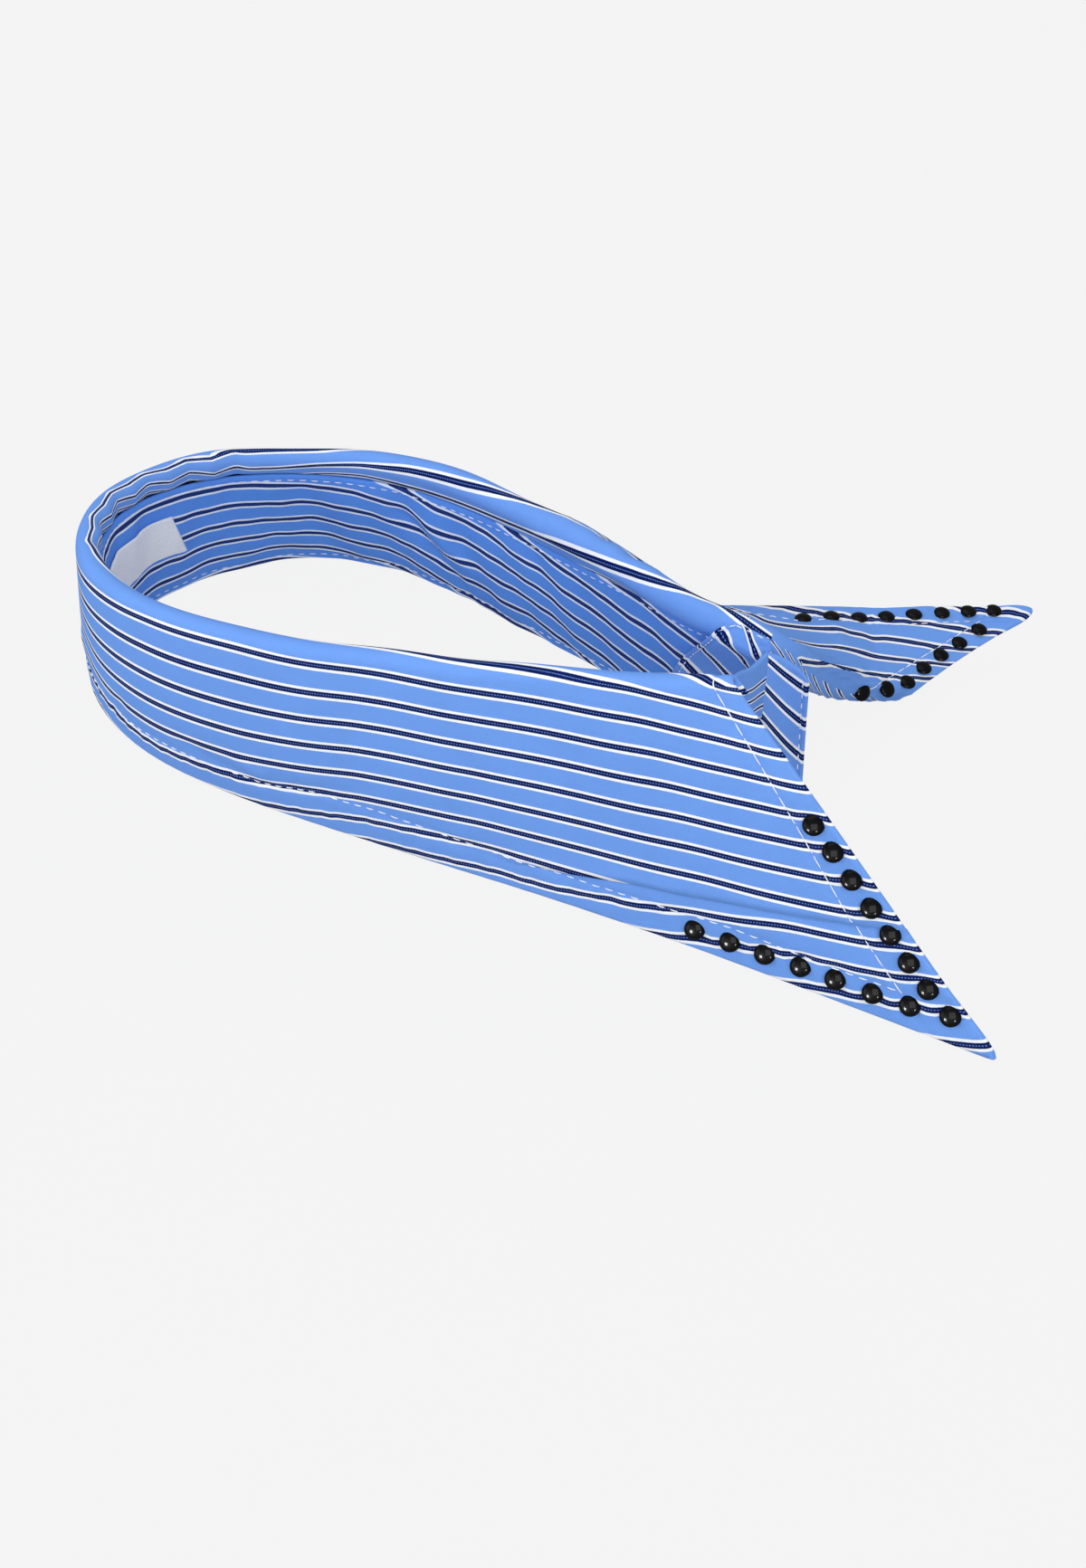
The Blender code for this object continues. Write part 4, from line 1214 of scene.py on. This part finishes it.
@dataclass
class Stand:
    """The inner band that hangs from the leaf's lip to the neck edge."""

    half: float = 0.60
    rim: float = 0.8
    start: float = 3.0
    lowest: float = 0.3
    stitch_inset: float = 2.6
    stitch_groove: float = 0.24
    # Waves down the band: height, slant, length, phase.
    waves: tuple[tuple[float, ...], ...] = (
        (0.26, -0.25, 13.4, 0.0), (0.30, 0.15, 21.0, 0.7), (0.05, 0.4, 6.1, 0.0))
    # Rows of start along, start below seam, end along, end below seam, width, height.
    creases: Array = table_of(
        (262, 8, 276, 24, 2.4, -1.1), (276, 24, 280, 36, 2.4, -0.9), (268, 6, 284, 22, 2.2, 0.8),
        (300, 4, 316, 26, 3, 0.3), (322, 6, 338, 28, 3, -0.3), (226, 2, 230, 30, 3.4, 0.6),
        (206, 4, 209, 30, 3, -0.5), (120, 4, 128, 30, 3.2, 0.6), (92, 4, 104, 28, 3, -0.6),
        (60, 4, 74, 26, 3, 0.5), (30, 6, 44, 26, 2.6, -0.5))

    def surface(self, s: Array, t: Array) -> Sheet:
        """The dressed stand: the form moved toward the neck by waves that run down it.

        Args:
            s: Distance along the crest.
            t: 0 at the seam and 1 at the lower edge.

        Returns:
            Middle points, normals toward the neck and half thickness.
        """
        s, t = np.broadcast_arrays(np.asarray(s, float), np.asarray(t, float))
        plain = FORM.stand(s, t)
        width = FORM.stand_width(s)
        down = t * width
        inward = normals_of(FORM.stand, s, t, -FORM.section(s)["outward"])
        body = soft_step(t / 0.16) * (0.45 + 0.55 * soft_step((1.02 - t) / 0.25))
        wave = sum(height * np.sin(FULL_TURN * (s + slant * down) / length + phase)
                   for height, slant, length, phase in self.waves)
        wave = wave * (1.0 - 0.55 * soft_step((s - 305.0) / 20.0))
        move = body * (wave + creased(self.creases, s, down))
        middle = plain + inward * move[..., None]
        middle[..., 2] = np.maximum(middle[..., 2], self.lowest)
        groove = self.stitch_groove * bell(down - (width - self.stitch_inset), 0.7)
        return middle, inward, self.half - groove

    def build(self, finishes: Finishes) -> None:
        ends = np.array((0.0, 0.12, 0.4, 0.85))
        s = np.concatenate((self.start + ends,
                            np.linspace(self.start + 1.6, FORM.stand_end - 1.6, 360),
                            FORM.stand_end - ends[::-1]))
        rim = np.array((0.0, 0.006, 0.016, 0.03))
        t = np.concatenate((rim, np.linspace(0.05, 0.86, 26), np.linspace(0.88, 0.965, 7),
                            1.0 - rim[::-1]))
        s, t = np.meshgrid(s, t, indexing="ij")
        middle, inward, half = self.surface(s, t)
        run, down = run_along(middle, 0), run_along(middle, 1)
        half = np.minimum(half, rounded(self.half, self.rim, from_rim(run, down)))
        cloth = np.stack((run, STRIPES.on_stand(s, down) * STRIPE_PITCH), axis=-1)
        piece = shell("collar_stand_cloth", middle, inward, half, [cloth])
        # The stand takes the poplin copy with painted shade.
        dress(piece, finishes.poplin_painted_shade, "striped_poplin_inside", "collar_stand")
        LOG.info("stand: %d points", middle.shape[0] * middle.shape[1])

    def seams(self) -> list[Seam]:
        """Stitches of the stand on both faces: along its foot, and just under the lip's seam."""
        s = np.linspace(self.start + 2.0, FORM.stand_end - 2.0, 800)
        width = FORM.stand_width(s)
        lines = []
        for t in (1.0 - self.stitch_inset / width, 1.6 / width):
            lines += on_both_faces(self.surface(s, t), 0.0, 1.9, 1.0)
        return lines


@dataclass
class BandTab:
    """The band's tab: a rounded, slanted end laid over the roll and the inside of the stand."""

    half: float = 0.55
    rim: float = 0.8
    lift: float = 1.75
    stitch_inset: float = 1.9
    stitch_groove: float = 0.22
    puff: float = 0.16
    gather: float = 0.34
    gather_length: float = 4.6
    # Down the inside (0 the roll's top, 0.5 its inner side, 1.5 the seam, 2.5 the stand's foot):
    # where the tab's end and its knot edge lie along the crest.
    rows: Array = table_of(
        (-0.12, 378.6, 384.3), (-0.02, 375.8, 384.8), (0.12, 373.6, 385), (0.40, 371, 385),
        (1.70, 363, 382.6), (1.84, 358.2, 382.2), (1.97, 354.6, 381.4), (2.2, 350, 380),
        (2.42, 347, 378.5))
    neck: Array = table_of(5, 25, 60)  # a point within the loop, that the tab faces
    # Along the crest: how far down the tab five of its stripes lie.
    stripe_rows: Array = table_of(
        (345, -9, 4, 14, 37, 46), (360.4, -9, 5, 15.5, 32.9, 42), (368.1, -8, 5.2, 17.3, 30.4, 40),
        (374.2, -6, 5.4, 19.9, 29, 39), (377, -3.2, 5.5, 20.6, 28.6, 38),
        (379.6, 0.4, 7.6, 21.4, 28.5, 38), (381.5, 2.9, 10.4, 22.2, 28.5, 38),
        (383.5, 4.6, 13.4, 23.4, 29, 38), (386, 6.6, 17, 25, 30, 38))

    def inside(self, s: Array, v: Array) -> Array:
        """The collar's inner face: the leaf from the roll's top to the seam, then the stand."""
        s, v = np.broadcast_arrays(np.asarray(s, float), np.asarray(v, float))
        leaf = FORM.leaf(s, 1.5 + np.minimum(v, 1.5))
        stand = FORM.stand(s, np.clip(v - 1.5, 0.0, 1.0))
        return np.where((v > 1.5)[..., None], stand, leaf)

    def coarse(self) -> Array:
        """The tab's own grid, lifted off the inner face, with s and the distance down it."""
        along = np.linspace(0.0, 1.0, 13)[:, None]
        v, end, knot = self.rows.T
        s = end + (knot - end) * along
        v = np.broadcast_to(v, s.shape)
        q = FORM.section(s)
        normal = normals_of(self.inside, s, v, q["up"] - q["out"])
        points = self.inside(s, v) + normal * self.lift
        return np.concatenate((points, s[..., None], run_along(points, 1)[..., None]), axis=-1)

    def build(self, finishes: Finishes) -> list[Seam]:
        """Make the tab, with stripes turned across it, and give its edge stitch.

        Returns:
            The stitch beside its end and beside its top.
        """
        fine = self.coarse()
        for size in (61, 65):  # read along, then down, and turned over each time
            count = len(fine)
            fine = spline(np.arange(float(count)), fine.reshape(count, -1),
                          np.linspace(0.0, count - 1.0, size))
            fine = fine.reshape(size, -1, 5).swapaxes(0, 1)
        middle, s, v = fine[..., :3], fine[..., 3], fine[..., 4]
        normal = grid_normals(middle, self.neck - middle)
        ds, dt = run_along(middle, 0), run_along(middle, 1)
        rim = from_rim(ds, dt)
        groove = self.stitch_groove * bell(np.minimum(ds, dt) - self.stitch_inset, 0.6)
        half = np.minimum(self.half - groove, rounded(self.half, self.rim, rim))
        cloth = np.stack((s, self.stripe(s, v) * STRIPE_PITCH), axis=-1)
        gather = np.sin(FULL_TURN * v / self.gather_length + 0.6) * soft_step((s - 375.0) / 9.0)
        puff = self.puff * np.sin(s / 3.7 + dt / 4.4) + self.gather * gather
        middle = middle + normal * (puff * soft_step(rim / 4.0))[..., None]
        piece = shell("band_tab_cloth", middle, normal, half, [cloth])
        dress(piece, finishes.poplin, "striped_poplin", "band_tab")
        LOG.info("band tab")
        return [on_face((middle, normal, half), where, 1.5, 0.9)
                for where in (np.s_[5, 4:-4], np.s_[5:-3, 4])]

    def stripe(self, s: Array, v: Array) -> Array:
        """Stripe count on the tab: it falls by one from each line of the table to the next."""
        lines = read_rows(self.stripe_rows, s, 1.0)
        before = np.maximum(lines[0] - v, 0.0) / STRIPE_PITCH
        return 3.0 + before - lines_passed(lines, v, (1.6, 2.4, 2.6, 3.0, 3.0))


@dataclass
class TieEnd:
    """The tie end: it bridges to the knot, folds over a ridge and hangs to its cut tip."""

    half: float = 0.55
    rim: float = 0.8
    stitch_inset: float = 2.2
    stitch_groove: float = 0.2
    bridge_rows: int = 70
    tip_rows: int = 50
    stripes_across: float = 5.0  # over the bridge's whole width, as it is gathered
    first_stripe: float = 0.40  # where the first of them lies, as a share of that width

    def build(self, finishes: Finishes) -> list[Seam]:
        """Make the tie end, with stripes along it, and give the stitch of its tip.

        Returns:
            The stitch beside the tip.
        """
        parts = []
        for table, count in ((TIE_BRIDGE, self.bridge_rows), (TIE_TIP, self.tip_rows)):
            reach = run_along(table[:, :3], 0)
            parts.append(spline(reach, table, np.linspace(0.0, reach[-1], count + 1)))
        edges = np.concatenate((parts[0], parts[1][1:]))
        q = np.linspace(0.0, 1.0, 45)[None, :, None]
        middle = edges[:, None, 0:3] * (1.0 - q) + edges[:, None, 3:6] * q
        normal = grid_normals(middle, np.array((-1.0, -0.4, 0.3)))
        ds, dt = run_along(middle, 0), run_along(middle, 1)
        groove = self.stitch_groove * bell(ds[-1:] - ds - self.stitch_inset, 0.6)
        half = np.minimum(self.half - groove, rounded(self.half, self.rim, from_rim(ds, dt)))
        down = np.sum((middle - TIP_STRIPE) * TIP_STRIPE_AXIS, axis=-1)
        across = np.maximum(self.stripes_across * (q[..., 0] - self.first_stripe), -0.5)
        across = np.broadcast_to(across, ds.shape)
        maps = [np.stack((ds, count * STRIPE_PITCH), axis=-1) for count in (across, down)]
        zone = np.zeros((len(middle) - 1, middle.shape[1] - 1), int)
        zone[self.bridge_rows:] = 1
        piece = shell("tie_end_cloth", middle, normal, half, maps, zone)
        dress(piece, finishes.poplin, "striped_poplin", "tie_end")
        LOG.info("tie end")
        row = int(np.searchsorted(ds[:, 12], ds[-1, 12] - self.stitch_inset))
        return [on_face((middle, normal, half), np.s_[row, 3:-3], 1.6, 0.9)]


@dataclass
class NeckLabel:
    """A plain woven tape on the inside of the stand at the back of the neck."""

    # Along the crest, then as shares of the stand's height.
    start: float = 166.0
    top_end: float = 207.5
    bottom_end: float = 212.5
    top: float = 0.20
    bottom: float = 0.55
    half: float = 0.32
    lift: float = 1.15
    turned_under: float = 3.6  # length of the ends that are turned under
    turned_half: float = 0.14  # what they add to half the thickness
    bulge: float = 0.18

    def build(self, stand: Stand, finishes: Finishes) -> list[Seam]:
        """Make the tape, thicker where its ends are turned under, and give its end stitches.

        Args:
            stand: The band that it lies on.
            finishes: The collar's finishes.

        Returns:
            The stitches at both ends.
        """
        share, down = np.meshgrid(np.linspace(0.0, 1.0, 120), np.linspace(0.0, 1.0, 40),
                                  indexing="ij")
        end = self.top_end + (self.bottom_end - self.top_end) * down
        s, t = self.start + (end - self.start) * share, self.top + (self.bottom - self.top) * down
        middle, inward, _ = stand.surface(s, t)
        ds, dt = run_along(middle, 0), run_along(middle, 1)
        rim = from_rim(ds, dt)
        turned = soft_step((self.turned_under - np.minimum(ds, ds[-1:] - ds)) / 0.8)
        half = np.minimum(self.half + self.turned_half * turned, rounded(0.5, 0.7, rim))
        bulge = self.bulge * np.sin(ds / 6.5) * soft_step(rim / 3.0)
        middle = middle + inward * (self.lift + bulge)[..., None]
        piece = shell("neck_label_tape", middle, inward, half, [np.stack((ds, dt), axis=-1)])
        dress(piece, finishes.tape, "white_woven_tape", "neck_label")
        LOG.info("neck label")
        return [on_face((middle, inward, half), np.s_[row, 2:-2], 1.4, 0.5) for row in (4, -5)]


@dataclass
class Stitching:
    """All of the white topstitching, as one piece of short stitches."""

    radius: float = 0.13

    def build(self, lines: list[Seam], finishes: Finishes) -> None:
        """Lay the stitches along each path."""
        points, faces, start = [], [], 0
        for line in lines:
            some, triangles = stitches(*line, self.radius, start)
            points.append(some)
            faces.append(triangles)
            start += len(some)
        piece = mesh_object("topstitching", np.concatenate(points), np.concatenate(faces).tolist())
        dress(piece, finishes.thread, "striped_poplin")
        LOG.info("stitches: %d", start // STITCH_POINTS)


@dataclass(frozen=True)
class Lamp:
    """One soft square light; a glint shows in glossy finishes alone."""

    name: str
    place: tuple[float, float, float]
    size: float
    power: float
    colour: str = "ffffff"
    glint: bool = False


@dataclass
class Studio:
    """A pale floor, a pale surround, soft lights and the camera, in metres."""

    eye: tuple[float, float, float] = (-0.38909, -0.10105, 0.28214)
    target: tuple[float, float, float] = (-0.0123, -0.0071, 0.0)
    lens: float = 49.86
    film: float = 36.0
    span: float = 3.0
    below: float = -0.0004  # the floor's height, just clear of the collar's underside
    surround: str = "f6f7fa"
    lamps: tuple[Lamp, ...] = (
        Lamp("key", (-0.75, -0.30, 0.58), 0.5, 4.1, "fffdfa"),
        Lamp("left_fill", (-0.45, 0.62, 0.28), 0.5, 2.1, "f8faff"),
        Lamp("top", (0.1, 0.1, 0.9), 0.7, 1.8),
        Lamp("left_glint", (-0.88, 0.24, 0.16), 0.20, 16.0, glint=True),
        Lamp("right_glint", (-0.78, -0.52, 0.14), 0.09, 2.6, glint=True))

    def floor(self) -> None:
        """A wide plain square, unseen by bounced light and by glossy finishes."""
        mesh = bpy.data.meshes.new("floor")
        mesh.from_pydata([(x * self.span, y * self.span, self.below)
                          for x, y in ((-1, -1), (1, -1), (1, 1), (-1, 1))], [], [(0, 1, 2, 3)])
        mesh.materials.append(PaleFloor().build())
        piece = linked("floor", mesh)
        piece.visible_diffuse = False
        piece.visible_glossy = False

    def aimed(self, name: str, data: bpy.types.ID,
              place: tuple[float, float, float]) -> bpy.types.Object:
        """Put a lamp or the camera at its place, turned to the collar."""
        thing = linked(name, data)
        thing.location = place
        view = Vector(self.target) - Vector(place)
        thing.rotation_euler = view.to_track_quat("-Z", "Y").to_euler()
        return thing

    def build(self) -> None:
        """Set the surround, the lights and the camera."""
        scene = bpy.context.scene
        scene.view_settings.view_transform = "Standard"
        self.floor()
        scene.world = bpy.data.worlds.new("pale_surround")
        scene.world.use_nodes = True
        sky = scene.world.node_tree.nodes["Background"].inputs
        sky["Color"].default_value = linear(self.surround)
        sky["Strength"].default_value = 0.5
        for lamp in self.lamps:
            light = bpy.data.lights.new(lamp.name, "AREA")
            light.size, light.energy, light.color = lamp.size, lamp.power, linear(lamp.colour)[:3]
            self.aimed(lamp.name, light, lamp.place).visible_diffuse = not lamp.glint
        data = bpy.data.cameras.new("camera")
        data.lens, data.sensor_width, data.sensor_fit = self.lens, self.film, "AUTO"
        scene.camera = self.aimed("camera", data, self.eye)
        LOG.info("studio")


def main() -> None:
    """Build every sub-assembly in order."""
    logging.basicConfig(level=logging.INFO, format="%(message)s")
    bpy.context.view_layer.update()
    Studio().build()
    finishes = Finishes.made()
    leaf = Leaf()
    leaf.build(finishes)
    stand = Stand()
    stand.build(finishes)
    lines = (leaf.seams() + stand.seams() + BandTab().build(finishes)
             + TieEnd().build(finishes) + NeckLabel().build(stand, finishes))
    Stitching().build(lines, finishes)
    for side in Side:
        StudRow(side).build(leaf, finishes)


if __name__ == "__main__":
    main()
